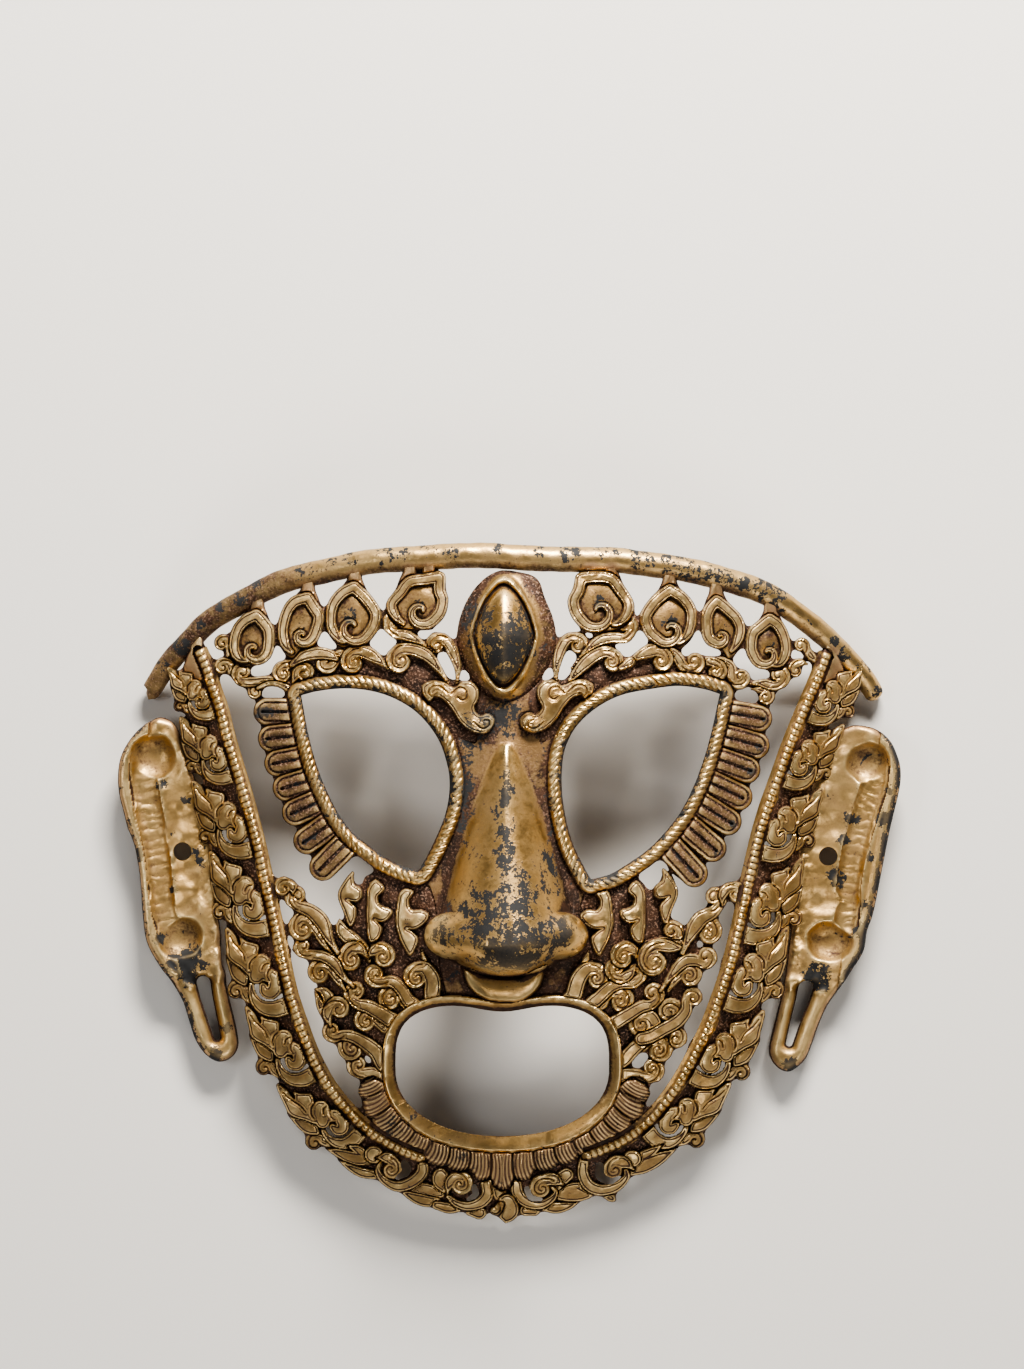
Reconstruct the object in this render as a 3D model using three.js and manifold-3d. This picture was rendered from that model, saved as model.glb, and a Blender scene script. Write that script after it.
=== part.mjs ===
// A gilt copper dance mask in openwork repousse, lying on its back with the face up.
// Millimetres. +X is the viewer's right, +Y points to the brow, +Z comes out of the face.
// The origin is under the middle of the mask, on the surface that it lies on.
import * as THREE from 'three';
import { mergeVertices } from 'three/addons/utils/BufferGeometryUtils.js';
import Module from 'manifold-3d';

const wasm = await Module();
wasm.setup();

// The sheet: how far its front stands above the table, and how it falls away to the sides and chin.
const SHEET = {
  wall: 2.2,
  crown: 40,
  sideDrop: 36.6,
  sideReach: 100,
  sidePower: 2.2,
  browSpread: 0.25,
  chinStart: 15,
  chinReach: 90,
  chinDrop: 37.8,
  chinPower: 1.9,
  browStart: 30,
  browReach: 75,
  browDrop: 5,
};

// The nose: a wedge that widens and rises from the bridge to the tip.
const NOSE = {
  middle: -0.6,
  bridge: 47,
  tip: -19,
  foot: -30,
  bridgeHalf: 3,
  tipHalf: 21,
  bridgeRise: 2,
  tipRise: 22,
  roundness: 1.7,
  widening: 0.8,
  start: 0.08,
  wing: { reach: 18.6, y: -15.4, radius: 6.2, rise: 8, depth: 5 },
};

// The third eye: an almond on end, in a raised oval frame.
const THIRD_EYE = {
  x: -1.6,
  y: 77.6,
  halfWidth: 14.4,
  halfHeight: 19.8,
  frameRise: 2.4,
  frameWidth: 3.6,
  frameSteps: 16,
  edgeSteps: 10,
  ball: { halfWidth: 9, halfHeight: 14.4, rise: 9, pointing: 1.5, fullness: 0.6 },
};
// The middle of the face, beside the nose, from the bridge to the upper lip.
const NOSE_SHEET = {
  left: [[-9, 62], [-23, 51.5], [-20.5, 40], [-20.5, 28], [-23.5, 15], [-29, 3], [-30, -12],
    [-28, -26], [-24, -37.5]],
  right: [[7, 62], [20.5, 51.5], [18, 40], [17.5, 28], [20, 15], [27, 2], [28.5, -12], [26, -26],
    [19, -37.5]],
};
// Steps along and across each sheet.
const GRID = { nose: [13, 7], thirdEye: [8, 5], cheek: [9, 2], cheekArm: [6, 2], tie: 2 };
// How far the undersides of the raised pieces lie below the sheet's front, inside its wall.
const ROOT = { tongue: 1.9, lobe: 1.8, curl: 1, scroll: 1.7, drop: 1.5, lip: 1.5, vine: 1.85, arm: 1.8,
  border: 2.1, beard: 1.95 };

// Each eye opening runs from its outer tip to its foot beside the nose along two bowed edges.
const EYES = {
  left: {
    tip: [-64.3, 58.7],
    foot: [-27.9, 4.8],
    upperBow: [[-23.6, 68.8], [-6.4, 37.5]],
    lowerBow: [[-61.2, 35.9], [-53.3, 11]],
  },
  right: {
    tip: [65.2, 59.2],
    foot: [25.3, 2.3],
    upperBow: [[21.6, 70.2], [3.1, 38.8]],
    lowerBow: [[63.2, 36.2], [49.9, 7.7]],
  },
};
const EYE_RIM = { width: 3.2, rise: 1.9, depth: 2.6, steps: 13 };

// The tongues that stand round the lower edge of each eye like lashes.
const LASH = { count: 7, first: 0.07, last: 0.9, start: 1.4, reach: 10.4, radius: 3.7, narrowing: 0.92,
  rise: 1.7, arcSteps: 3 };

// The mouth: a kidney-shaped opening whose upper edge dips in the middle.
const MOUTH = {
  x: -2.1,
  y: -57.1,
  halfWidth: 33.1,
  halfHeight: 21,
  upperPower: 3.5,
  lowerPower: 2.15,
  dip: 2.6,
  dipWidth: 11,
  rimWidth: 2.9,
  rimRise: 1.6,
  rimDepth: 4.2,
  steps: 28,
};
const LIP = {
  x: -2, y: -29.6, halfWidth: 12.4, topHalf: 7.4, above: 2, edge: 1, drop: 5.4, rise: 3.2, steps: 6,
};

// The beaded bands that run from the temples down to the chin, each with a wall turned back inside.
const BANDS = {
  left: [[-95.8, 71.1], [-87.7, 45.6], [-77.5, 9.1], [-73.3, -10.5], [-68.2, -33.6], [-61.2, -53.5],
    [-49.6, -71], [-33.8, -82.6], [-16, -90], [2, -92.6]],
  right: [[98.4, 69.4], [91.1, 52.4], [78, 15.8], [70.7, -17.3], [65.3, -35.3], [56.6, -55.2],
    [43.7, -73.5], [24.6, -84.3], [11, -90], [-5, -92.6]],
};
const BAND = { inner: 3.4, outer: 1.6, rise: 1.9, foot: 0.2, innerFall: 3.8, wall: 1.8 };

// The outer edge of the scroll border, from the temple past the ear to the chin.
const BORDER_EDGES = {
  left: [[-106, 61.5], [-103.6, 45], [-97.5, 27.5], [-93.5, 8], [-91.6, -12], [-88.4, -26],
    [-82.8, -42], [-76.1, -58.5], [-67, -73.5], [-52.1, -87.6], [-35.5, -97.2], [-14.7, -103.4], [2, -105.6]],
  right: [[106.5, 58.5], [102.6, 46.6], [95, 29], [91.6, 10], [89.4, -9], [87.6, -21],
    [83.4, -36], [72.8, -58.5], [57, -81.8], [41.8, -92.5], [22.1, -100], [8, -104.2], [-5, -105.4]],
};
const BORDER = { rise: 1.4, low: 0.4, middle: 0.6, scallop: 1.8, leaves: 14, steps: 27 };

// The cheeks, under the eyes and beside the mouth, and the scroll arms that tie them to the bands.
const CHEEKS = {
  left: {
    outer: [[-49, 7], [-53, -3], [-55.5, -12], [-61.5, -15.5], [-59.5, -26], [-56.8, -34], [-53.6, -44],
      [-48.7, -51.7], [-44, -60]],
    inner: [[-26, 4.5], [-27.5, -8], [-26, -20], [-24, -32], [-31, -38], [-35.6, -46], [-37, -52],
      [-37.2, -58], [-36, -63]],
    arm: [[-72.5, 0.6], [-67, -1.6], [-62.3, -6], [-56.5, -11.5], [-52.5, -17]],
  },
  right: {
    outer: [[46.5, 6], [51, -3], [54, -12], [60, -14.5], [58, -24], [55.5, -33], [51.5, -43],
      [46, -52], [40, -60]],
    inner: [[24.5, 3.5], [25.5, -8], [24, -20], [21, -32], [27, -37.5], [31, -44], [32.8, -51],
      [33, -57], [31.5, -63]],
    arm: [[72.5, 1.5], [66.5, -2.4], [61.5, -7], [55.5, -12], [51, -17]],
  },
};

const CHEEK_ARM = { half: 2.3, rise: 1.5 };

// Scrolls that curl on the cheeks: x, y and radius for the viewer's left; the other side mirrors them.
const SCROLLS = [
  [-65.6, -3.4, 2.6], [-61.6, -14.4, 3.6], [-58, -27, 3.4], [-52.9, -36.8, 3.2], [-53.4, -45.2, 3],
  [-44.4, -41.6, 3.3], [-47.4, -51.5, 3.2], [-48.6, -22.5, 3.4], [-38.6, -21.5, 2.8], [-41.4, -28.4, 3.1],
  [-35.4, -34, 2.8], [-28.1, -28.4, 3.1],
];
const SCROLL = { mirrorX: -2.4, rise: 1.7, taper: 0.72, sides: 5 };

// The three hooked drops that hang below each eye: root, tip and width.
const DROPS = [
  { root: [-46.5, 5.5], tip: [-47.8, -12.2], width: 6 },
  { root: [-40.5, 3], tip: [-41.2, -16], width: 6.4 },
  { root: [-31.5, -0.5], tip: [-31, -20], width: 6.6 },
];
const DROP = { mirrorX: -1.4, rise: 1.5, taper: 0.55, steps: 7 };

// The beard fringe under the mouth, between the mouth rim and the bands.
const BEARD = {
  outer: [[-45, -54], [-42.5, -64], [-37.5, -72.5], [-29.5, -80.5], [-17, -87], [-1.5, -91.5],
    [13, -87.5], [24.5, -81], [33.5, -72.5], [38.5, -64], [41, -54]],
  inset: 1.6,
  rise: 0.8,
  tufts: 11,
  tuftRise: 1.2,
  steps: 22,
};

// The brow: heart-shaped lobes with a curl, on a vine that runs over both eyes.
const LOBES = [
  { x: -28.6, y: 88.2, width: 20.4, height: 17 },
  { x: -48.2, y: 83.8, width: 17.8, height: 20 },
  { x: -64.4, y: 80.4, width: 14.8, height: 20.4 },
  { x: -79.4, y: 76.2, width: 14.4, height: 17.8 },
  { x: 28.6, y: 88, width: 20.4, height: 18.2 },
  { x: 49.2, y: 83.4, width: 18.2, height: 19.6 },
  { x: 66.4, y: 80, width: 14, height: 19.6 },
  { x: 80.6, y: 75.2, width: 14, height: 17.8 },
];
const LOBE = { rise: 1.6, corners: 10, pointing: 0.32, curlRadius: 3, curlRise: 3.2 };
const VINES = {
  left: [[-14, 70], [-22, 72], [-31, 79], [-40, 73], [-52, 70.5], [-63, 69], [-75, 65.5], [-86, 66],
    [-95.5, 66.5]],
  right: [[11, 70], [19, 72], [29, 78.5], [38, 73], [50, 71], [62, 69.5], [74, 66], [86, 66], [97, 65]],
};
const VINE = { half: 2.7, rise: 1.4, steps: 14 };

// The leaf scrolls that spring from under the third eye to the eye rims.
const BROW_SCROLLS = {
  left: [[-12, 66], [-19, 60.5], [-14, 54.5], [-6, 58], [-1, 54]],
  right: [[9, 66], [17, 60.5], [13, 54.5], [5, 58], [0, 54]],
};
const BROW_SCROLL = { half: 2.6, rise: 2.2, steps: 8 };
// Short ties between the vine and the top of each eye rim.
const BROW_TIE = { half: 1.9, rise: 1 };
const BROW_TIES = [
  [[-29, 76], [-32, 61.5]], [[-47, 71], [-45, 62]], [[-63, 69.5], [-62, 60]], [[-80, 65], [-66, 58]],
  [[27, 76], [30, 62]], [[46, 71], [47, 63]], [[62, 70], [62, 61]], [[79, 65.5], [67, 59]],
];

// The rod that arches over the brow, thicker in the middle than at its round ends.
const ROD = {
  path: [[-113.5, 59.7], [-106.6, 68.4], [-92.4, 82.6], [-69.4, 94.4], [-41.9, 100.3], [-7.8, 101.9],
    [31.3, 100.9], [56.7, 97.5], [80, 90.6], [98.3, 77.3], [111.6, 63.7], [115, 57.5]],
  middleRadius: 3.8,
  endRadius: 2.5,
  endTaper: 0.6,
  lowest: 0.3,
  steps: 26,
  quarterSides: 2,
};

// The ears: a dished plate with a tie hole and two pits, ending in a lobe with a long slit.
const EARS = {
  left: {
    outer: [[-107.5, 51.8], [-114.5, 49.4], [-120.6, 41], [-121.9, 31], [-119.5, 19], [-115.8, 6],
      [-114.2, -9], [-112.2, -20], [-106.5, -29]],
    inner: [[-107, 51.2], [-105, 47], [-101.4, 36], [-97.2, 23.5], [-94.4, 12], [-93.2, 0],
      [-91.6, -14], [-90.2, -22], [-88.8, -29]],
    lobe: [[-104.8, -27], [-100.8, -40], [-96.8, -51], [-91, -55.4], [-85.6, -51.5], [-86.6, -40],
      [-89.4, -27]],
    slit: { top: [-95, -31], bottom: [-90.9, -49], half: 2.2 },
    hole: [-101.8, 10.2],
    pits: [[-110.4, 39.6], [-99.6, -17.6]],
  },
  right: {
    outer: [[108.5, 49.6], [115, 48], [120.4, 41.5], [121.9, 33], [119.6, 19], [116.2, 4],
      [113, -10], [110.4, -20], [105, -29]],
    inner: [[108, 49], [105.6, 47], [100, 39.5], [96.2, 29], [93.2, 18], [91.8, 5],
      [90.2, -9], [88.8, -20], [87.2, -29]],
    lobe: [[103.8, -27], [98.6, -41], [93.8, -53], [87.6, -58.4], [82, -53.4], [84, -40], [87.8, -27]],
    slit: { top: [94.6, -31], bottom: [88.4, -50.5], half: 2.2 },
    hole: [99.5, 8.8],
    pits: [[109.6, 38.4], [98.4, -18]],
  },
};
const EAR = {
  wall: 2,
  plateau: 10,
  trough: 6.2,
  rim: 11.5,
  pitRadius: 7.6,
  pitFloor: 1.7,
  pitFlatness: 2.2,
  rimShare: 0.26,
  stepShare: 0.44,
  stepWidth: 0.12,
  lobeBevel: 1.1,
  slitRounding: 0.8,
  slitArcSteps: 3,
  holeSides: 10,
  lobeTop: 8.5,
  holeRadius: 2.9,
  pad: { halfWidth: 6, halfLength: 10 },
  lobeSteps: 18,
  steps: 15,
  across: 5,
};

// Corners closer than this to the line or face they lie on are left out of a joined solid.
const FINENESS = 0.26;

const GOLD = 0xb58a45;
const DARK_GOLD = 0x9a7440;

const clamp01 = (value) => Math.min(Math.max(value, 0), 1);
const mix = (a, b, t) => a + (b - a) * t;
const smooth = (t) => clamp01(t) ** 2 * (3 - 2 * clamp01(t));
const point = ([x, y]) => new THREE.Vector2(x, y);
const splineOf = (points) => new THREE.SplineCurve(points.map(point));

// Height of the bare sheet's front above the table.
function skin(x, y) {
  const reach = SHEET.sideReach + SHEET.browSpread * Math.max(y, 0);
  const side = SHEET.sideDrop * Math.abs(x / reach) ** SHEET.sidePower;
  const chin = SHEET.chinDrop * clamp01((-y - SHEET.chinStart) / SHEET.chinReach) ** SHEET.chinPower;
  const brow = SHEET.browDrop * clamp01((y - SHEET.browStart) / SHEET.browReach) ** 2;
  return Math.max(SHEET.crown - side - chin - brow, SHEET.wall);
}

// The nose raised on the sheet: a rounded wedge whose rise falls off across its width.
function noseRise(x, y) {
  const down = clamp01((NOSE.bridge - y) / (NOSE.bridge - NOSE.tip));
  const under = clamp01((NOSE.tip - y) / (NOSE.tip - NOSE.foot));
  const half = mix(NOSE.bridgeHalf, NOSE.tipHalf, down ** NOSE.widening);
  const ridge = mix(NOSE.bridgeRise, NOSE.tipRise, down) * (1 - under ** 2) * smooth(down / NOSE.start);
  return ridge * clamp01(1 - Math.abs((x - NOSE.middle) / half) ** NOSE.roundness);
}

// The third eye's ball raised on the sheet.
function ballRise(x, y) {
  const { ball } = THIRD_EYE;
  const across = (x - THIRD_EYE.x) / ball.halfWidth;
  const up = (y - THIRD_EYE.y) / ball.halfHeight;
  return ball.rise * clamp01(1 - across ** 2 - Math.abs(up) ** ball.pointing) ** ball.fullness;
}

const front = (x, y) => skin(x, y) + noseRise(x, y) + ballRise(x, y);

// A three.js geometry with its shared corners merged, so that it is one closed skin.
function closed(geometry) {
  geometry.deleteAttribute('normal');
  geometry.deleteAttribute('uv');
  return mergeVertices(geometry, 1e-4);
}

function moved(geometry, place) {
  const position = geometry.attributes.position;
  for (let i = 0; i < position.count; i += 1) {
    const [x, y, z] = place(position.getX(i), position.getY(i), position.getZ(i));
    position.setXYZ(i, x, y, z);
  }
  return geometry;
}

// Heights in a geometry laid on the sheet count from its front.
const onSheet = (geometry) => moved(geometry, (x, y, z) => [x, y, z + front(x, y)]);

function solidOf(geometry) {
  const solid = new wasm.Manifold(new wasm.Mesh({
    numProp: 3,
    vertProperties: new Float32Array(geometry.attributes.position.array),
    triVerts: new Uint32Array(geometry.index.array),
  }));
  if (solid.volume() <= 0) throw new Error('a solid is empty or inside out');
  return solid;
}

function geometryOf(solid) {
  const mesh = solid.getMesh();
  const geometry = new THREE.BufferGeometry();
  geometry.setAttribute('position', new THREE.BufferAttribute(mesh.vertProperties, 3));
  geometry.setIndex(new THREE.BufferAttribute(mesh.triVerts, 1));
  geometry.computeVertexNormals();
  return geometry;
}

const joined = (solids) => solids.reduce((whole, next) => whole.add(next));

// A box of unit size cut into steps, then bent: place gets along, across and up, each from 0 to 1.
function slab(along, across, place) {
  const box = closed(new THREE.BoxGeometry(1, 1, 1, along, across, 1));
  return moved(box, (x, y, z) => place(x + 0.5, y + 0.5, z + 0.5));
}

function leftOf(curve, t) {
  const tangent = curve.getTangentAt(t);
  return new THREE.Vector2(-tangent.y, tangent.x);
}

// A strip along a curve, crested in the middle and rooted in the sheet.
function ridge(points, half, rise, depth, along, across) {
  const curve = splineOf(points);
  return slab(along, across, (u, v, w) => {
    const middle = curve.getPointAt(u);
    const side = leftOf(curve, u);
    const offset = (2 * v - 1) * half;
    const top = v === 0.5 ? rise : 0.1;
    return [middle.x + side.x * offset, middle.y + side.y * offset, w > 0.5 ? top : -depth];
  });
}

// A sheet between two curves that run the same way. heights gives its top and underside.
function loft(one, other, along, across, heights) {
  const start = one.getPointAt(0.45);
  const run = one.getPointAt(0.55).sub(start);
  const over = other.getPointAt(0.5).sub(start);
  const turned = run.x * over.y - run.y * over.x < 0;
  return slab(along, across, (u, v, w) => {
    const share = turned ? 1 - v : v;
    const from = one.getPointAt(u);
    const to = other.getPointAt(u);
    const x = mix(from.x, to.x, share);
    const y = mix(from.y, to.y, share);
    const [top, bottom] = heights(share, u, x, y);
    return [x, y, w > 0.5 ? top : bottom];
  });
}

// The loop moved outwards by a distance, with mitred corners. The loop runs counter-clockwise.
function offsetLoop(loop, distance) {
  const count = loop.length;
  return loop.map((corner, i) => {
    const before = corner.clone().sub(loop[(i + count - 1) % count]).normalize();
    const after = loop[(i + 1) % count].clone().sub(corner).normalize();
    const miter = new THREE.Vector2(before.y + after.y, -before.x - after.x);
    const stretch = 2 / Math.max(miter.lengthSq(), 1);
    return corner.clone().addScaledVector(miter, distance * stretch);
  });
}

// A rim round an opening: each profile entry is an offset outwards and a height.
function rim(loop, profile) {
  const loops = profile.map(([offset]) => offsetLoop(loop, offset));
  const ring = closed(new THREE.TorusGeometry(2, 1, profile.length, loop.length));
  return moved(ring, (x, y, z) => {
    const around = Math.round((Math.atan2(y, x) / (2 * Math.PI)) * loop.length + loop.length) % loop.length;
    const about = Math.atan2(z, Math.hypot(x, y) - 2) / (2 * Math.PI);
    const corner = Math.round(about * profile.length + profile.length) % profile.length;
    const at = loops[corner][around];
    return [at.x, at.y, profile[corner][1]];
  });
}

// A flat shape from a depth below the sheet's front to a rise above it.
function plate(points, depth, rise) {
  const shape = new THREE.Shape(counterClockwise(points));
  const body = new THREE.ExtrudeGeometry(shape, { depth: depth + rise, bevelEnabled: false });
  body.translate(0, 0, -depth);
  return closed(body);
}

function counterClockwise(points) {
  return THREE.ShapeUtils.isClockWise(points) ? points.reverse() : points;
}

// A low round boss that swells from the sheet, and reaches a little way behind it.
function boss(x, y, radius, rise, below) {
  const ball = closed(new THREE.SphereGeometry(1, 7, 4));
  return moved(ball, (bx, by, bz) => [x + bx * radius, y + by * radius, bz * (bz > 0 ? rise : below)]);
}

// The flat button of a scroll's curl.
function button(x, y, radius, rise, depth) {
  const disc = new THREE.CylinderGeometry(radius * SCROLL.taper, radius, depth + rise, SCROLL.sides);
  disc.rotateX(Math.PI / 2);
  disc.translate(x, y, (rise - depth) / 2);
  return closed(disc);
}

function eyeCurves(eye) {
  const upper = new THREE.CubicBezierCurve(...[eye.tip, ...eye.upperBow, eye.foot].map(point));
  const lower = new THREE.CubicBezierCurve(...[eye.tip, ...eye.lowerBow, eye.foot].map(point));
  return { upper, lower };
}

function eyeLoop(eye) {
  const { upper, lower } = eyeCurves(eye);
  const there = upper.getSpacedPoints(EYE_RIM.steps).slice(0, -1);
  const back = lower.getSpacedPoints(EYE_RIM.steps).reverse().slice(0, -1);
  return counterClockwise([...there, ...back]);
}

function mouthLoop() {
  const points = [];
  for (let i = 0; i < MOUTH.steps; i += 1) {
    const turn = (2 * Math.PI * i) / MOUTH.steps;
    const power = 2 / (Math.sin(turn) > 0 ? MOUTH.upperPower : MOUTH.lowerPower);
    const across = Math.sign(Math.cos(turn)) * Math.abs(Math.cos(turn)) ** power;
    const up = Math.sign(Math.sin(turn)) * Math.abs(Math.sin(turn)) ** power;
    const x = MOUTH.halfWidth * across;
    const dip = up > 0 ? MOUTH.dip * Math.exp(-((x / MOUTH.dipWidth) ** 2)) : 0;
    points.push(new THREE.Vector2(MOUTH.x + x, MOUTH.y + MOUTH.halfHeight * up - dip));
  }
  return points;
}

const sheetHeights = () => [0, -SHEET.wall];

// The middle of the face, with the nose raised in it.
const noseSheet = () => (
  loft(splineOf(NOSE_SHEET.left), splineOf(NOSE_SHEET.right), ...GRID.nose, sheetHeights)
);

function noseWings() {
  const { reach, y, radius, rise, depth } = NOSE.wing;
  return [-reach, reach].map((x) => boss(NOSE.middle + x, y, radius, rise, depth));
}

function upperLip() {
  const points = [];
  for (let i = 0; i <= LIP.steps; i += 1) {
    const across = (2 * i) / LIP.steps - 1;
    const y = LIP.y - LIP.edge - LIP.drop * (1 - across ** 2);
    points.push(new THREE.Vector2(LIP.x + LIP.halfWidth * across, y));
  }
  for (const side of [1, -1]) {
    points.push(new THREE.Vector2(LIP.x + side * LIP.topHalf, LIP.y + LIP.above));
  }
  return plate(points, ROOT.lip, LIP.rise);
}

// The third eye's oval sheet and the frame raised on it.
function thirdEyeSheet() {
  const edge = (side) => {
    const points = [];
    for (let i = 0; i <= THIRD_EYE.edgeSteps; i += 1) {
      const turn = (Math.PI * (i + 0.4)) / (THIRD_EYE.edgeSteps + 0.8);
      const x = THIRD_EYE.x + side * THIRD_EYE.halfWidth * Math.sin(turn);
      points.push([x, THIRD_EYE.y + THIRD_EYE.halfHeight * Math.cos(turn)]);
    }
    return splineOf(points);
  };
  return loft(edge(-1), edge(1), ...GRID.thirdEye, sheetHeights);
}

function thirdEyeFrame() {
  const loop = [];
  for (let i = 0; i < THIRD_EYE.frameSteps; i += 1) {
    const turn = (2 * Math.PI * i) / THIRD_EYE.frameSteps;
    const x = THIRD_EYE.x + (THIRD_EYE.halfWidth - THIRD_EYE.frameWidth) * Math.cos(turn);
    const y = THIRD_EYE.y + (THIRD_EYE.halfHeight - THIRD_EYE.frameWidth) * Math.sin(turn);
    loop.push(new THREE.Vector2(x, y));
  }
  const { frameWidth, frameRise } = THIRD_EYE;
  return rim(loop, [[frameWidth, -0.6], [frameWidth * 0.5, frameRise], [0, -0.9], [frameWidth * 0.5, -1.6]]);
}

function eyeRim(eye) {
  const { width, rise, depth } = EYE_RIM;
  return rim(eyeLoop(eye), [[width, -0.6], [width * 0.5, rise], [0, -0.6], [width * 0.5, -depth]]);
}

function mouthRim() {
  const { rimWidth, rimRise, rimDepth } = MOUTH;
  return rim(mouthLoop(), [[rimWidth, -0.5], [rimWidth * 0.6, rimRise], [0, 0.4], [-0.6, -rimDepth],
    [rimWidth * 0.7, -rimDepth]]);
}

// The rounded tongues along the lower edge of an eye, square to the edge.
function lashes(eye) {
  const { lower } = eyeCurves(eye);
  const away = eye.tip[0] < 0 ? -1 : 1;
  const list = [];
  for (let i = 0; i < LASH.count; i += 1) {
    const t = mix(LASH.first, LASH.last, i / (LASH.count - 1));
    const root = lower.getPointAt(t);
    const out = leftOf(lower, t).multiplyScalar(away);
    const run = new THREE.Vector2(-out.y, out.x);
    const points = [1, -1].map((side) => root.clone().addScaledVector(out, LASH.start)
      .addScaledVector(run, side * LASH.radius * LASH.narrowing));
    for (let k = 0; k <= LASH.arcSteps; k += 1) {
      const turn = Math.PI * (k / LASH.arcSteps - 0.5);
      points.push(root.clone().addScaledVector(out, LASH.reach + LASH.radius * Math.cos(turn))
        .addScaledVector(run, LASH.radius * Math.sin(turn)));
    }
    list.push(plate(points, ROOT.tongue, LASH.rise));
  }
  return list;
}

function drops() {
  return [-1, 1].flatMap((side) => DROPS.map(({ root, tip, width }) => {
    const points = [];
    for (let i = 0; i < DROP.steps; i += 1) {
      const turn = (2 * Math.PI * (i + 0.5)) / DROP.steps;
      const down = (1 - Math.cos(turn)) / 2;
      const half = (width / 2) * Math.sin(turn) * (1 - DROP.taper * down);
      const x = mix(root[0], tip[0], down) + half;
      const y = mix(root[1], tip[1], down);
      points.push(new THREE.Vector2(side < 0 ? x : DROP.mirrorX - x, y));
    }
    return plate(points, ROOT.drop, DROP.rise);
  }));
}

function cheek(side) {
  const { outer, inner } = CHEEKS[side];
  return loft(splineOf(outer), splineOf(inner), ...GRID.cheek, sheetHeights);
}

const cheekArm = (side) => (
  ridge(CHEEKS[side].arm, CHEEK_ARM.half, CHEEK_ARM.rise, ROOT.arm, ...GRID.cheekArm)
);

function scrolls() {
  return [-1, 1].flatMap((side) => SCROLLS.map(([x, y, radius]) => (
    button(side < 0 ? x : SCROLL.mirrorX - x, y, radius, SCROLL.rise, ROOT.scroll)
  )));
}

// The outer frame of one side in one run: from the smooth wall that turns back towards the face, over
// the beaded band's crest, to the scroll border, whose edge is scalloped into leaves.
function border(side) {
  const crest = splineOf(BANDS[side]);
  const edge = splineOf(BORDER_EDGES[side]);
  const away = side === 'left' ? -1 : 1;
  return slab(BORDER.steps, 4, (u, v, w) => {
    const share = side === 'left' ? 1 - v : v;
    const root = crest.getPointAt(u);
    const tip = edge.getPointAt(u);
    const out = leftOf(crest, u).multiplyScalar(away);
    const leaf = Math.abs(Math.cos(Math.PI * BORDER.leaves * u));
    const width = tip.distanceTo(root) - BORDER.scallop * (1 - leaf);
    const towardsTip = tip.clone().sub(root).normalize();
    const swell = BORDER.rise * (BORDER.low + leaf);
    const across = [
      [root.clone().addScaledVector(out, -BAND.inner), BAND.wall - BAND.innerFall, -BAND.innerFall],
      [root, BAND.rise, -ROOT.border],
      [root.clone().addScaledVector(out, BAND.outer), BAND.foot, -ROOT.border],
      [root.clone().addScaledVector(towardsTip, width * BORDER.middle), swell, -ROOT.border],
      [root.clone().addScaledVector(towardsTip, width), 0, -ROOT.border],
    ];
    const [at, top, bottom] = across[Math.round(share * 4)];
    return [at.x, at.y, w > 0.5 ? top : bottom];
  });
}

function beard() {
  const loop = mouthLoop();
  const lower = loop.slice(MOUTH.steps / 2 - 1).concat(loop.slice(0, 2));
  const inner = new THREE.SplineCurve(offsetLoop(lower, BEARD.inset).slice(1, -1));
  const outer = splineOf(BEARD.outer);
  return loft(inner, outer, BEARD.steps, 2, (share, u) => {
    const tuft = Math.abs(Math.sin(Math.PI * BEARD.tufts * u));
    return [BEARD.rise + BEARD.tuftRise * tuft * Math.sin(Math.PI * clamp01(share)), -ROOT.beard];
  });
}

// A heart with its point up, and the curl raised in it.
function lobe({ x, y, width, height }) {
  const points = [];
  const count = LOBE.corners;
  for (let i = 0; i < count; i += 1) {
    const turn = (2 * Math.PI * i) / count;
    const up = -Math.cos(turn);
    const pointed = up > 0 ? 1 - LOBE.pointing * up : 1;
    points.push(new THREE.Vector2(
      x + (width / 2) * Math.sin(turn) * pointed,
      y + (height / 2) * up,
    ));
  }
  return plate(points, ROOT.lobe, LOBE.rise);
}

function lobeCurl({ x, y }) {
  return button(x, y, LOBE.curlRadius, LOBE.curlRise, ROOT.curl);
}

function rodRadius(u) {
  return mix(ROD.endRadius, ROD.middleRadius, Math.sin(Math.PI * u) ** 0.5);
}

// The brow rod: a round bar swept along its arch, slimmer and rounded at the ends.
function browRod() {
  const flat = splineOf(ROD.path);
  const places = [];
  for (let i = 0; i <= ROD.steps; i += 1) {
    const { x, y } = flat.getPointAt(i / ROD.steps);
    const level = Math.max(skin(x, y) - SHEET.wall / 2, rodRadius(i / ROD.steps) + ROD.lowest);
    places.push(new THREE.Vector3(x, y, level));
  }
  const path = new THREE.CatmullRomCurve3(places);
  const section = new THREE.Shape();
  section.absarc(0, 0, 1, 0, 2 * Math.PI);
  const bar = new THREE.ExtrudeGeometry(section, {
    steps: ROD.steps,
    extrudePath: path,
    curveSegments: 2 * ROD.quarterSides,
  });
  const body = closed(bar);
  const centres = path.getSpacedPoints(ROD.steps);
  return moved(body, (x, y, z) => {
    const at = new THREE.Vector3(x, y, z);
    const nearest = centres.reduce((best, centre, i) => (
      at.distanceTo(centre) < at.distanceTo(centres[best]) ? i : best
    ), 0);
    const u = nearest / ROD.steps;
    const ending = nearest === 0 || nearest === ROD.steps ? ROD.endTaper : 1;
    const out = at.sub(centres[nearest]).multiplyScalar(rodRadius(u) * ending);
    return centres[nearest].clone().add(out).toArray();
  });
}

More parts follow.
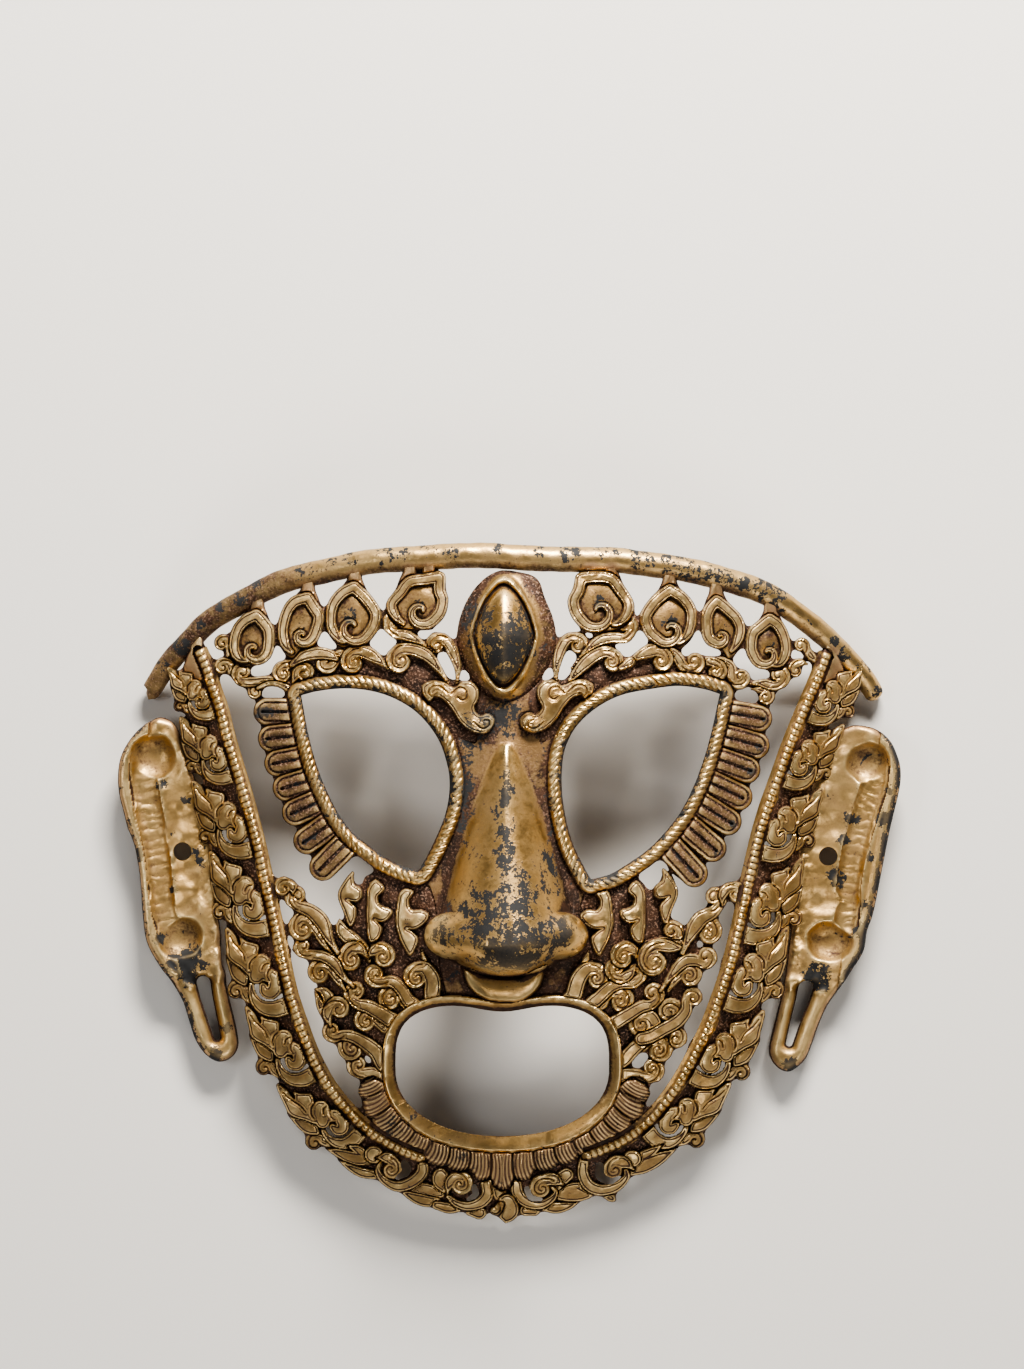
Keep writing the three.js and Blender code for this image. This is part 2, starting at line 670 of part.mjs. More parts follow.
// Height of an ear's front: a raised outer rim, a trough, then a level plateau, with two round pits.
function earTop(ear, share, x, y) {
  const rimFall = smooth(share / EAR.rimShare);
  const step = smooth((share - EAR.stepShare) / EAR.stepWidth);
  let top = mix(mix(EAR.rim, EAR.trough, rimFall), EAR.plateau, step);
  for (const [px, py] of ear.pits) {
    const far = Math.hypot(x - px, y - py) / EAR.pitRadius;
    top = Math.min(top, mix(EAR.pitFloor, EAR.rim, clamp01(far) ** EAR.pitFlatness));
  }
  const [hx, hy] = ear.hole;
  const onPad = Math.abs(x - hx) < EAR.pad.halfWidth && Math.abs(y - hy) < EAR.pad.halfLength;
  return onPad ? EAR.plateau : top;
}

function earLobe(ear) {
  const { top, bottom, half } = ear.slit;
  const along = point(bottom).sub(point(top));
  const across = new THREE.Vector2(-along.y, along.x).normalize();
  const slit = [];
  for (const [end, sign] of [[top, -1], [bottom, 1]]) {
    for (let i = 0; i <= EAR.slitArcSteps; i += 1) {
      const turn = Math.PI * (i / EAR.slitArcSteps - 0.5);
      const reach = sign * half * EAR.slitRounding * Math.cos(turn);
      const out = along.clone().setLength(1).multiplyScalar(reach);
      slit.push(point(end).add(out).addScaledVector(across, sign * half * -Math.sin(turn)));
    }
  }
  const outline = splineOf([...ear.lobe, ear.lobe[0]]).getSpacedPoints(EAR.lobeSteps).slice(0, -1);
  const body = new THREE.Shape(counterClockwise(outline));
  body.holes.push(new THREE.Path(slit));
  const lobeBody = new THREE.ExtrudeGeometry(body, {
    depth: EAR.lobeTop - 2 * EAR.lobeBevel,
    bevelThickness: EAR.lobeBevel,
    bevelSize: EAR.lobeBevel,
    bevelOffset: -EAR.lobeBevel,
    bevelSegments: 1,
  });
  lobeBody.translate(0, 0, EAR.lobeBevel);
  return closed(lobeBody);
}

function ear(side) {
  const shape = EARS[side];
  const dish = loft(splineOf(shape.outer), splineOf(shape.inner), EAR.steps, EAR.across, (share, u, x, y) => {
    const top = earTop(shape, share, x, y);
    return [top, Math.max(top - EAR.wall, 0)];
  });
  const hole = new THREE.CylinderGeometry(EAR.holeRadius, EAR.holeRadius, 3 * EAR.plateau, EAR.holeSides);
  hole.rotateX(Math.PI / 2);
  hole.translate(...shape.hole, EAR.plateau);
  return solidOf(dish).add(solidOf(earLobe(shape))).subtract(solidOf(closed(hole)));
}

function openworkFace() {
  const sides = ['left', 'right'];
  const sheets = [noseSheet(), thirdEyeSheet(), ...sides.map(cheek), ...sides.map(border), beard()];
  const rims = [...sides.map((side) => eyeRim(EYES[side])), mouthRim(), thirdEyeFrame()];
  const tongues = sides.flatMap((side) => lashes(EYES[side]));
  const vines = sides.map((side) => ridge(VINES[side], VINE.half, VINE.rise, ROOT.vine, VINE.steps, 2));
  const leaves = sides.map((side) => (
    ridge(BROW_SCROLLS[side], BROW_SCROLL.half, BROW_SCROLL.rise, ROOT.vine, BROW_SCROLL.steps, 2)
  ));
  const ties = BROW_TIES.map((ends) => ridge(ends, BROW_TIE.half, BROW_TIE.rise, ROOT.vine, GRID.tie, 2));
  const hearts = [...LOBES.map(lobe), ...LOBES.map(lobeCurl)];
  const raised = [...noseWings(), upperLip(), ...drops(), ...scrolls(), ...sides.map(cheekArm)];
  const pieces = [...sheets, ...rims, ...tongues, ...vines, ...leaves, ...ties, ...hearts, ...raised];
  return joined(pieces.map((piece) => solidOf(onSheet(piece)))).simplify(FINENESS);
}

function node(name, solid, colour) {
  const material = new THREE.MeshStandardMaterial({ color: colour, roughness: 0.42, metalness: 1 });
  const mesh = new THREE.Mesh(geometryOf(solid), material);
  mesh.name = name;
  return mesh;
}

const mask = new THREE.Group();
mask.add(node('openwork_face', openworkFace(), GOLD));
mask.add(node('brow_rim', solidOf(browRod()), GOLD));
mask.add(node('left_ear', ear('left'), DARK_GOLD));
mask.add(node('right_ear', ear('right'), DARK_GOLD));

export default mask;
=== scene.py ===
# %% [markdown]
# # A gilt copper dance mask
# The mask is four pieces of metal: an openwork face that is hammered up from behind, chased and pierced, a
# round rod that arches over the brow, and two ears with slit lobes. All are fire gilt, worn, and dark where
# dirt and tarnish have settled. It lies on the edge of its hollow back on a pale floor: +X runs across the
# face, +Y from the chin to the brow and +Z out of the face. Everything is built at its real size, in
# millimetres until it becomes a mesh, because a chaser's strokes are tenths of a millimetre.

import bpy
import numpy as np
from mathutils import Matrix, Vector


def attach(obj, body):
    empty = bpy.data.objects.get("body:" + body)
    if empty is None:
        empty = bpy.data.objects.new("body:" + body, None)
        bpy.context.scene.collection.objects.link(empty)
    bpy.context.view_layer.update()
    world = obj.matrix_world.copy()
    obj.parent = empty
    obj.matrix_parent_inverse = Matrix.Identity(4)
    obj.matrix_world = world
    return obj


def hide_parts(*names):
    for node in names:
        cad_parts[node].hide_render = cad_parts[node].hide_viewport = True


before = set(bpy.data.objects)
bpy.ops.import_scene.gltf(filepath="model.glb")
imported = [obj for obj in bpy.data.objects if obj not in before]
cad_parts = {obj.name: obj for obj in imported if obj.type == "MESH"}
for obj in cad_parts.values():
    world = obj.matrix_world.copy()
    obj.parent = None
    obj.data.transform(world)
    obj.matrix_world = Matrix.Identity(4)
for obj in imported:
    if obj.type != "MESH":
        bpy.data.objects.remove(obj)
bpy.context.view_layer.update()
MM = 0.001


# %% [markdown]
# ## Reading places off the photograph
# The mask is seen straight from the front, so a place on the photograph is a place on the mask: 0.31 mm for
# each pixel, measured from the pixel over the middle of the bounding box. Lengths that drive the form, such
# as the width of a scroll or the depth of the relief, are real millimetres.

# %% Places and lines
PIXEL = 0.31
MIDDLE = np.array([509.0, 885.5])


def place(pixels):
    """Pixels of the photograph, one row each, as millimetres across and up the mask."""
    pixels = np.atleast_2d(np.asarray(pixels, float))
    return (pixels[:, :2] - MIDDLE) * [PIXEL, -PIXEL]


def smooth(share):
    """A soft step from 0 to 1."""
    share = np.clip(share, 0, 1)
    return share * share * (3 - 2 * share)


def curve(points, per=8):
    """A smooth line through the given rows (Catmull-Rom), with per steps between neighbours."""
    rows = np.asarray(points, float)
    ends = np.vstack([2 * rows[0] - rows[1], rows, 2 * rows[-1] - rows[-2]])
    t = np.linspace(0, 1, per, endpoint=False)[:, None]
    pieces = [
        0.5 * (2 * b + (c - a) * t + (2 * a - 5 * b + 4 * c - d) * t**2 + (3 * b - a - 3 * c + d) * t**3)
        for a, b, c, d in zip(ends, ends[1:], ends[2:], ends[3:])
    ]
    return np.vstack(pieces + [rows[-1:]])


def ring(points, per=8):
    """A smooth closed line through the given rows, without the first point again at its end."""
    rows = np.asarray(points, float)
    wrapped = curve(np.vstack([rows[-2:], rows, rows[:2]]), per)
    return wrapped[2 * per:(len(rows) + 2) * per]


def run_of(line):
    """Length along a line of points, up to each point."""
    return np.concatenate([[0], np.cumsum(np.hypot(*np.diff(line[:, :2], axis=0).T))])


def even(line, count):
    """The line again with its points evenly spaced."""
    run = run_of(line)
    at = np.linspace(0, run[-1], count)
    return np.stack([np.interp(at, run, column) for column in line.T], axis=1)


print("100 pixels of the photograph are", round(100 * PIXEL, 1), "mm")


# %% [markdown]
# ## The form under the ornament
# A shallow shell: highest down the middle, falling away to the sides and more steeply to the chin. The nose
# and the third eye are raised from it with a hammer. All in millimetres.

# %% Shell and nose
NOSE = dict(
    x=-0.9, bridge=45.0, tip=-17.5, foot=-27.8, half_top=1.6, half_foot=20.6, rise_top=1.8, rise_tip=20.0,
    lift=7.5, side_power=0.76, tuck=4.6, tuck_from=-11.0, skirt=1.12, edge_top=1.25, edge_foot=2.3,
)
WING = dict(out=16.2, y=-15.0, half_width=9.3, half_height=7.6, rise=11.4, round=0.6, blend=8.5)
SHELL = dict(
    top=40.0, half_width=100.0, side_drop=36.6, chin_from=15.0, chin_over=90.0, chin_drop=37.8,
    brow_from=30.0, brow_over=75.0, brow_drop=5.0, least=2.2,
)


def shell(x, y):
    """Height of the plain shell over the floor: its top, less powers of the way to the sides, chin and
    brow."""
    s = SHELL
    side = np.abs(x / (s["half_width"] + 0.25 * np.maximum(y, 0))) ** 2.2
    chin = np.clip((-y - s["chin_from"]) / s["chin_over"], 0, 1) ** 1.9
    brow = np.clip((y - s["brow_from"]) / s["brow_over"], 0, 1.2) ** 2
    fallen = s["top"] - s["side_drop"] * side - s["chin_drop"] * chin - s["brow_drop"] * brow
    return np.maximum(fallen, s["least"])


def merged(a, b, soft):
    """The higher of two heights, with the valley between them filled softly."""
    return np.maximum(a, b) + np.maximum(soft - np.abs(a - b), 0) ** 2 / (4 * np.maximum(soft, 0.01))


def nose(x, y):
    """The nose: a ridge that widens and rises from the bridge to the tip, with a round nostril each side.

    Its roof is 1 less a power of the way across, and each nostril is a flattened ball merged with it.
    """
    n = NOSE
    down = np.clip((n["bridge"] - y) / (n["bridge"] - n["tip"]), 0, 1)
    out = np.abs(x - n["x"])
    lift = n["lift"] * np.clip(out / n["half_foot"], 0, 1.1) ** 2
    under = np.clip((n["tip"] + lift - y) / (n["tip"] - n["foot"]), 0, 1)
    half = n["half_top"] + (n["half_foot"] - n["half_top"]) * down ** n["side_power"]
    half = half - n["tuck"] * smooth((n["tuck_from"] - y) / (n["tuck_from"] - n["foot"]))
    across = np.clip(out / (n["skirt"] * half), 0, 1)
    power = n["edge_top"] + (n["edge_foot"] - n["edge_top"]) * down
    roof = (1 - across**power) ** (1 + 0.35 * (1 - down))
    height = n["rise_top"] + (n["rise_tip"] - n["rise_top"]) * down**1.15
    body = height * roof * smooth(down / 0.03) * np.sqrt(1 - under**2)
    for side in (-1, 1):
        across_wing = (x - n["x"] - side * WING["out"]) / WING["half_width"]
        far = np.hypot(across_wing, (y - WING["y"]) / WING["half_height"])
        wing = WING["rise"] * np.clip(1 - far**2, 0, 1) ** WING["round"]
        body = np.where(wing > 0, merged(body, wing, WING["blend"] * smooth(wing / 3)), body)
    return body


print("nose tip over the floor, mm:", round(float(shell(0, NOSE["tip"]) + nose(0.0, NOSE["tip"])), 1))


# %% [markdown]
# ## The sheet as a field of heights
# Everything on the face is drawn into one field: a square grid over the mask that keeps, at each spot, how
# far inside the metal it is, the height of the relief, the distance to the nearest drawn edge, and a few
# shares that the finish uses later. Each scroll is drawn over what is there, as a chaser works: its body is
# raised, its edge falls away within half a millimetre and a thin groove is sunk beside it.

# %% Outlines, means and noise
FALL = 0.5
PILLOW = dict(rise=0.7, over=3.0, power=0.8)
GROOVE = dict(width=0.45, depth=0.5)
CREASE = 0.35
CONTOUR = dict(line=0.9, width=0.24, depth=0.32, inner=1.15, inner_width=0.5, sunk=0.26)
AWAY = 4.0
FAR = 9.0
OPEN = -FAR
SHARES = ("edge", "ground", "fringe", "dark", "lines", "comb")


def contours(depth, lines):
    """How far the chased outline lowers a body: an engraved line, then a level inside that lies deeper."""
    line = np.exp(-(((depth - CONTOUR["line"]) / CONTOUR["width"]) ** 2))
    inner = smooth((depth - CONTOUR["inner"]) / CONTOUR["inner_width"])
    return min(lines, 1) * (CONTOUR["depth"] * line + CONTOUR["sunk"] * inner)


def box_mean(field, cells):
    """Mean over a square of 2 cells + 1 grid points a side, worked out with running sums."""
    for axis in (0, 1):
        edges = [(cells + 1, cells) if k == axis else (0, 0) for k in (0, 1)]
        total = np.cumsum(np.pad(field, edges, mode="edge"), axis=axis)
        count = field.shape[axis]
        far = np.take(total, np.arange(count) + 2 * cells + 1, axis=axis)
        near = np.take(total, np.arange(count), axis=axis)
        field = (far - near) / (2 * cells + 1)
    return field


def blurred(height, metal, cells):
    """The height averaged twice over a square, counting only the metal."""
    total, weight = height * metal, metal.astype(float)
    for _ in range(2):
        total = box_mean(total, cells)
        weight = box_mean(weight, cells)
    return np.where(weight > 1e-4, total / np.maximum(weight, 1e-4), height)


def value_noise(x, y, size, seed):
    """Seeded random heights on a square net of the given size, joined by soft steps: from 0 to 1."""
    u, v = (x - x.min()) / size, (y - y.min()) / size
    i, j = u.astype(int), v.astype(int)
    s, t = smooth(u - i), smooth(v - j)
    net = np.random.default_rng(seed).random((i.max() + 2, j.max() + 2))
    low = net[i, j] * (1 - s) + net[i + 1, j] * s
    high = net[i, j + 1] * (1 - s) + net[i + 1, j + 1] * s
    return low * (1 - t) + high * t


def lumps(x, y, size, seed):
    """Three layers of noise, each half the size and half the height of the one before: from 0 to 1."""
    layers = [value_noise(x, y, size / 2**k, seed + k) / 2**k for k in range(3)]
    return sum(layers) / 1.75


print("a body falls over", FALL, "mm and swells over", PILLOW["over"], "mm")


# %% The sheet
class Sheet:
    """The field of heights, in millimetres, and the shares that the finish reads.

    inside is the distance inside the metal, holes the distance inside a piercing, relief the height over
    the
    plain shell and edge the distance to the nearest drawn edge. The others run from 0 to 1: ground is sunk
    matted metal, fringe bare copper, dark tarnish and lines chased metal. comb is the length along the
    beard.
    """

    def __init__(self, low, high, pitch):
        self.low = np.asarray(low, float)
        self.pitch = pitch
        counts = np.ceil((np.asarray(high) - self.low) / pitch).astype(int) + 1
        xs = self.low[0] + pitch * np.arange(counts[0])
        ys = self.low[1] + pitch * np.arange(counts[1])
        self.x, self.y = np.meshgrid(xs, ys, indexing="ij")
        for name in ("relief", *SHARES):
            setattr(self, name, np.zeros(self.x.shape))
        self.edge += AWAY
        self.inside = np.full(self.x.shape, OPEN)
        self.holes = np.full(self.x.shape, OPEN)

    def window(self, points, margin):
        """The part of the grid around the points, as a pair of slices."""
        low = np.floor((points.min(0) - margin - self.low) / self.pitch).astype(int)
        high = np.ceil((points.max(0) + margin - self.low) / self.pitch).astype(int) + 1
        low = np.maximum(low, 0)
        return slice(low[0], max(high[0], 1)), slice(low[1], max(high[1], 1))

    def put(self, area, where, **values):
        """Writes the values into the fields of those names, in the window, where the mask holds."""
        for name, value in values.items():
            field = getattr(self, name)
            field[area] = np.where(where, value, field[area])

    def draw(self, area, depth, low, rise, crown=0.0, ground=0.0, lines=1.0, fall=FALL, groove=True,
             fringe=0.0):
        """Draws one raised body: depth is the distance inside its edge, in millimetres, over the window.

        Its top is low, plus the rise as a soft step over the fall, plus a pillow that swells inwards.
        """
        body = depth > 0
        swell = np.clip(depth / PILLOW["over"], 0, 1) ** PILLOW["power"]
        top = low + rise * smooth(depth / fall) + (PILLOW["rise"] * lines + crown) * swell
        top = top - contours(depth, lines)
        near = (depth > -GROOVE["width"]) & ~body & groove
        sunk = GROOVE["depth"] * smooth(1 + depth / GROOVE["width"])
        self.relief[area] = np.where(body, top, self.relief[area] - np.where(near, sunk, 0))
        # edge stays small in the crease beside a body, where the finish paints shade
        beside = np.where(depth > -CREASE, np.maximum(-depth, 0), FAR)
        self.edge[area] = np.where(body, depth, np.minimum(self.edge[area], beside))
        self.put(area, body, ground=ground, fringe=fringe, lines=lines)
        self.inside[area] = np.maximum(self.inside[area], depth)
        self.holes[area] = np.where(body, np.minimum(self.holes[area], -depth), self.holes[area])

    def pierce(self, area, depth):
        """Marks a hole, which a body drawn later may close again: depth is the distance inside the hole."""
        self.holes[area] = np.maximum(self.holes[area], depth)

    def web(self, reach, share, low):
        """Fills narrow gaps, wherever more than the share of the surroundings is metal, then cuts the
        holes."""
        cells = max(round(reach / self.pitch), 1)
        metal = (self.inside > 0).astype(float)
        depth = (box_mean(box_mean(metal, cells), cells) - share) * 2 * reach
        new = (depth > 0) & (self.inside <= 0)
        self.relief = np.where(new, low, self.relief)
        self.ground = np.where(new, 1.0, self.ground)
        self.edge = np.where(new, np.maximum(self.edge, 0.3), self.edge)
        self.inside = np.minimum(np.maximum(self.inside, depth), -self.holes)

    def spill(self):
        """Carries the fields a little way over the cut edges, which would else take values from the
        gaps."""
        metal = self.inside > 0
        for name in SHARES:
            field = getattr(self, name)
            setattr(self, name, np.where(metal, field, blurred(field, metal, 1)))
        near = blurred(self.relief, metal, 1)
        self.relief = np.where(metal, self.relief, np.minimum(self.relief, near))


print("shares that the finish reads:", *SHARES)


# %% Distances to lines and loops
def ribbon_depth(x, y, line, half):
    """Distance inside a ribbon: a line of points with a half width at each."""
    depth = np.full(x.shape, OPEN)
    for (px, py), width in zip(line, half):
        depth = np.maximum(depth, width - np.hypot(x - px, y - py))
    return depth


def near_line(x, y, line):
    """Distance to a line of points, the length along it, and on which side of it the spot lies (+1
    left)."""
    best = np.full(x.shape, 1e9)
    along = np.zeros(x.shape)
    side = np.ones(x.shape)
    run = run_of(line)
    for k in range(len(line) - 1):
        (ax, ay), (bx, by) = line[k], line[k + 1]
        dx, dy = bx - ax, by - ay
        size = max(np.hypot(dx, dy), 1e-9)
        t = np.clip(((x - ax) * dx + (y - ay) * dy) / size**2, 0, 1)
        far = np.hypot(x - ax - t * dx, y - ay - t * dy)
        closer = far < best
        best = np.where(closer, far, best)
        along = np.where(closer, run[k] + t * size, along)
        side = np.where(closer, np.sign((x - ax) * -dy + (y - ay) * dx), side)
    return best, along, side


def loop_depth(x, y, loop):
    """Distance inside a closed loop of points, negative outside."""
    closed = np.vstack([loop, loop[:1]])
    far, _, _ = near_line(x, y, closed)
    inside = np.zeros(x.shape, bool)
    for (ax, ay), (bx, by) in zip(closed, closed[1:]):
        crosses = (ay > y) != (by > y)
        span = np.where(by == ay, 1e-9, by - ay)
        inside ^= crosses & (x < (bx - ax) * (y - ay) / span + ax)
    return np.where(inside, far, -far)


square = 3.0 * np.array([(-1, -1), (1, -1), (1, 1), (-1, 1)])
print("the middle of a 6 mm square lies", *loop_depth(np.zeros(1), np.zeros(1), square), "mm inside")


# %% [markdown]
# ## Scrolls, leaves and lobes
# The border, the brow and the cheeks are made of a few strokes of the chasing punch: a stem that rolls up
# into a curl, a leaf that ends in a point, and a heart-shaped lobe. A curl is a stem with a spiral of a
# turn or so at its end, which gets thinner towards its eye.

# %% Strokes
SCROLL = dict(
    turns=1.25, points=25, eye=0.08, thin=0.5, wider=1.44, root=0.3, taper=0.5, groove=0.27,
    groove_depth=0.75, plain=0.75,
)
VOLUTE = dict(turn=[-1.3, -0.7, 0, 1.6, 3.2, 4.8, 6.0], reach=[1.02, 0.78, 0.6, 0.5, 0.38, 0.25, 0.1])


def rolled_up(stem, eye, turns, points, left, thin):
    """The spiral that carries a stem on around the eye.

    It keeps the stem's sense of turning. Its radius falls evenly to the share left, its half width to the
    share thin.
    """
    arm = stem[-1, :2] - np.asarray(eye, float)
    travel = stem[-1, :2] - stem[-2, :2]
    hand = np.sign(arm[0] * travel[1] - arm[1] * travel[0])
    u = np.linspace(0, 1, points + 1)[1:]
    turn = np.arctan2(arm[1], arm[0]) + hand * 2 * np.pi * turns * u
    reach = np.hypot(*arm) * (1 - u + left * u)
    half = stem[-1, 2] * (1 - u + thin * u)
    return np.stack([eye[0] + reach * np.cos(turn), eye[1] + reach * np.sin(turn), half], axis=1)


def curl_line(path, eye, turns, root):
    """A stem through the path's rows (x, y, half width in pixels) that rolls up around the eye."""
    stem = curve(path, 6)
    grown = smooth(np.linspace(0, 1, len(stem)) / SCROLL["taper"])
    stem[:, 2] = stem[:, 2] * SCROLL["wider"] * (root + (1 - root) * grown)
    return np.vstack([stem, rolled_up(stem, eye, turns, SCROLL["points"], SCROLL["eye"], SCROLL["thin"])])


print("points round a curl:", SCROLL["points"])


# %% Bodies, leaves and piercings
def body(sheet, loops=(), strokes=(), low=0.3, rise=1.5, grow=0.0, **finish):
    """Draws one body made of filled loops and of strokes, each a line of (x, y, half width), in pixels.

    grow is how far its edge lies outside them, in millimetres.
    """
    closed = [place(loop) for loop in loops]
    lines = [(place(stroke), stroke[:, 2] * PIXEL) for stroke in strokes]
    reach = max([half.max() for _, half in lines], default=0) + grow + 1.2
    area = sheet.window(np.vstack(closed + [line for line, _ in lines]), reach)
    x, y = sheet.x[area], sheet.y[area]
    depths = [loop_depth(x, y, loop) for loop in closed] + [ribbon_depth(x, y, line, half) for line,
                                                            half in lines]
    sheet.draw(area, np.maximum.reduce(depths) + grow, low, rise, **finish)


def curl(sheet, path, eye, turns=SCROLL["turns"], root=SCROLL["root"], **finish):
    """A stem with its curl. The turns touch, and a groove between them is cut into the rolled-up end.

    root is how wide the stem starts, as a share of its full width.
    """
    line = curl_line(path, eye, turns, root)
    centre = np.asarray(eye, float)
    spiral = line[-SCROLL["points"]:, :2] - centre
    core = np.array([(*eye, np.hypot(*spiral[0]) * 0.8), (eye[0] + 0.1, eye[1], 1.0)])
    body(sheet, strokes=[line, core], **finish)
    hand = np.sign(spiral[0, 0] * spiral[1, 1] - spiral[0, 1] * spiral[1, 0])
    turn = np.linspace(VOLUTE["turn"][0], VOLUTE["turn"][-1], 40)
    size = (np.hypot(*spiral[0]) + line[-SCROLL["points"],
                                        2]) * np.interp(turn, VOLUTE["turn"], VOLUTE["reach"])
    angle = np.arctan2(spiral[0, 1], spiral[0, 0]) + hand * turn
    groove = centre + size[:, None] * np.stack([np.cos(angle), np.sin(angle)], axis=1)
    engrave(sheet, groove, SCROLL["groove"], SCROLL["groove_depth"])


def engrave(sheet, line, width, depth):
    """Cuts a groove along a line of pixels into what is there."""
    centre = place(line)
    area = sheet.window(centre, 3 * SCROLL["plain"])
    far, _, _ = near_line(sheet.x[area], sheet.y[area], centre)
    sheet.relief[area] -= depth * np.exp(-((far / width) ** 2))
    sheet.edge[area] = np.minimum(sheet.edge[area], far + 0.04)
    sheet.lines[area] *= smooth((far - SCROLL["plain"]) / 0.3)


def leaf(sheet, *paths, wider=1.14, **finish):
    """One or more tapering strokes joined in one body."""
    body(sheet, strokes=[curve(path, 8) * [1, 1, wider] for path in paths], **finish)


def pierce_line(sheet, rows, wider=1.0):
    """Pierces a crescent, given as a line of (x, y, half width) in pixels."""
    line = curve(rows, 8)
    area = sheet.window(place(line), 3)
    sheet.pierce(area, ribbon_depth(sheet.x[area], sheet.y[area], place(line), line[:, 2] * PIXEL * wider))


def plate(sheet, corners, low, rise, rounded=True, **finish):
    """Draws a filled shape from its corners."""
    body(sheet, loops=[ring(corners, 6) if rounded else corners], low=low, rise=rise, **finish)


print("a curl turns", SCROLL["turns"], "times round its eye")


# %% [markdown]
# ## Plain sheet, eyes and mouth
# The openings are cut first in the real sheet and their edges turned over: the eyes get a rope of twisted
# wire, the mouth a smooth bevel that turns in.

# %% Eyes, mouth and plain sheet
EYES = {
    "left": dict(
        upper=[(301.5, 695.5), (319, 691), (347, 688.5), (374, 691.5), (398, 700), (420, 715), (438, 738),
            (447, 762), (450, 785), (446, 812), (434, 842), (419, 870.5)],
        lower=[(419, 870.5), (401, 864.5), (384, 856), (367, 843.5), (352, 831), (338, 812), (326, 788),
            (316, 762), (308, 731), (301.5, 695.5)],
    ),
    "right": dict(
        upper=[(719.4, 694), (703, 689), (678, 686), (651, 689), (623, 694.5), (602, 704), (584, 717.5),
            (571, 734), (563, 756), (561.5, 788), (566, 820), (575, 849), (590.5, 878.5)],
        lower=[(590.5, 878.5), (610, 873), (629, 862), (648, 848.5), (664.5, 832), (679, 813.5),
            (691, 791), (701, 766), (710, 736), (719.4, 694)],
    ),
}
ROPE = dict(width=4.5, rise=2.2, pitch=2.0, twist=1.7, depth=0.8, inner_fall=1.0, round=0.45)
MOUTH = dict(
    x=-2.1, y=-57.1, half_width=33.1, half_height=21.0, top_power=3.5, low_power=2.15, dip=2.6,
    dip_width=11.0,
)
RIM = dict(side=4.1, foot=5.3, top=3.4, inward=2.2, rise=1.7, crest=0.78)
FACE = [(463, 690), (459, 720), (455, 770), (452, 800), (441, 850), (424, 880), (421, 905), (420, 940),
    (428, 965), (436, 990), (460, 1006), (505, 1014), (550, 1006), (584, 990), (592, 965), (596, 940),
    (594, 910), (592, 888), (575, 850), (560, 800), (556, 770), (560, 740), (560, 715), (550, 690)]
CHEEKS = {
    "left": [(344, 926), (352, 905), (361, 893), (366, 876), (384, 872), (396, 884), (424, 880),
        (436, 905), (440, 960), (446, 998), (430, 1002), (408, 1010), (396, 1026), (390, 1052),
        (386, 1084), (378, 1080), (381, 1064), (377, 1050), (366, 1038), (350, 1032), (334, 1026),
        (333, 1006), (328, 986), (318, 964), (308, 944), (322, 934)],
    "right": [(672, 926), (662, 905), (650, 893), (640, 880), (622, 874), (606, 884), (590, 884),
        (580, 905), (578, 960), (570, 996), (584, 998), (600, 1008), (612, 1028), (616, 1052), (618, 1084),
        (630, 1080), (628, 1062), (640, 1048), (650, 1040), (664, 1032), (676, 1018), (678, 1002),
        (682, 986), (690, 966), (696, 946), (690, 936)],
}
PATCHES = {
    "left": [(396, 664), (428, 662), (452, 682), (468, 700), (452, 722), (430, 704), (404, 690)],
    "right": [(586, 664), (614, 668), (612, 688), (588, 702), (566, 722), (548, 702), (560, 684)],
}
print("mouth, mm:", 2 * MOUTH["half_width"], "x", 2 * MOUTH["half_height"])


# %% Rope and mouth
def eye_loop(side):
    """The outline of one eye's opening, in millimetres."""
    upper = curve(place(EYES[side]["upper"]), 8)
    lower = curve(place(EYES[side]["lower"]), 8)
    return np.vstack([upper[:-1], lower[:-1]])


def draw_rope(sheet, side):
    """The opening of one eye and the twisted wire around it.

    The wire's section is half a circle, and strands cross it where the sine of the length, shifted by
    the way
    across, is small.
    """
    loop = even(np.vstack([eye_loop(side), eye_loop(side)[:1]]), 150)
    area = sheet.window(loop, ROPE["width"] + 1)
    x, y = sheet.x[area], sheet.y[area]
    outside = -loop_depth(x, y, loop[:-1])
    _, along, _ = near_line(x, y, loop)
    across = outside / ROPE["width"] - 0.5
    depth = ROPE["width"] * (0.5 - np.abs(across))
    turns = along / ROPE["pitch"] + ROPE["twist"] * across * (1 if side == "left" else -1)
    strand = np.abs(np.sin(np.pi * turns)) ** ROPE["round"]
    sheet.draw(area, depth, 0.2, 0.0)
    arch = np.sqrt(np.clip(1 - (2 * across) ** 2, 0, 1))
    height = ROPE["rise"] * arch - ROPE["inner_fall"] * (1 - arch) * (across < 0)
    height = height - ROPE["depth"] * (1 - strand)
    edge = np.minimum(depth, 0.15 + 1.2 * strand)
    sheet.put(area, depth > 0, relief=height, edge=edge, lines=0, dark=0.3 - 0.35 * across)
    sheet.pierce(area, -outside)


def mouth_reach(x, y):
    """How far out of the mouth a spot is: 1 on the edge of the opening, by a formula for a kidney shape."""
    m = MOUTH
    dx = np.abs(x - m["x"]) / m["half_width"]
    top = y > m["y"]
    dip = m["dip"] * np.exp(-(((x - m["x"]) / m["dip_width"]) ** 2))
    tall = np.where(top, m["half_height"] - dip, m["half_height"])
    power = np.where(top, m["top_power"], m["low_power"])
    dy = np.abs(y - m["y"]) / tall
    return (dx**power + dy**power) ** (1 / power)


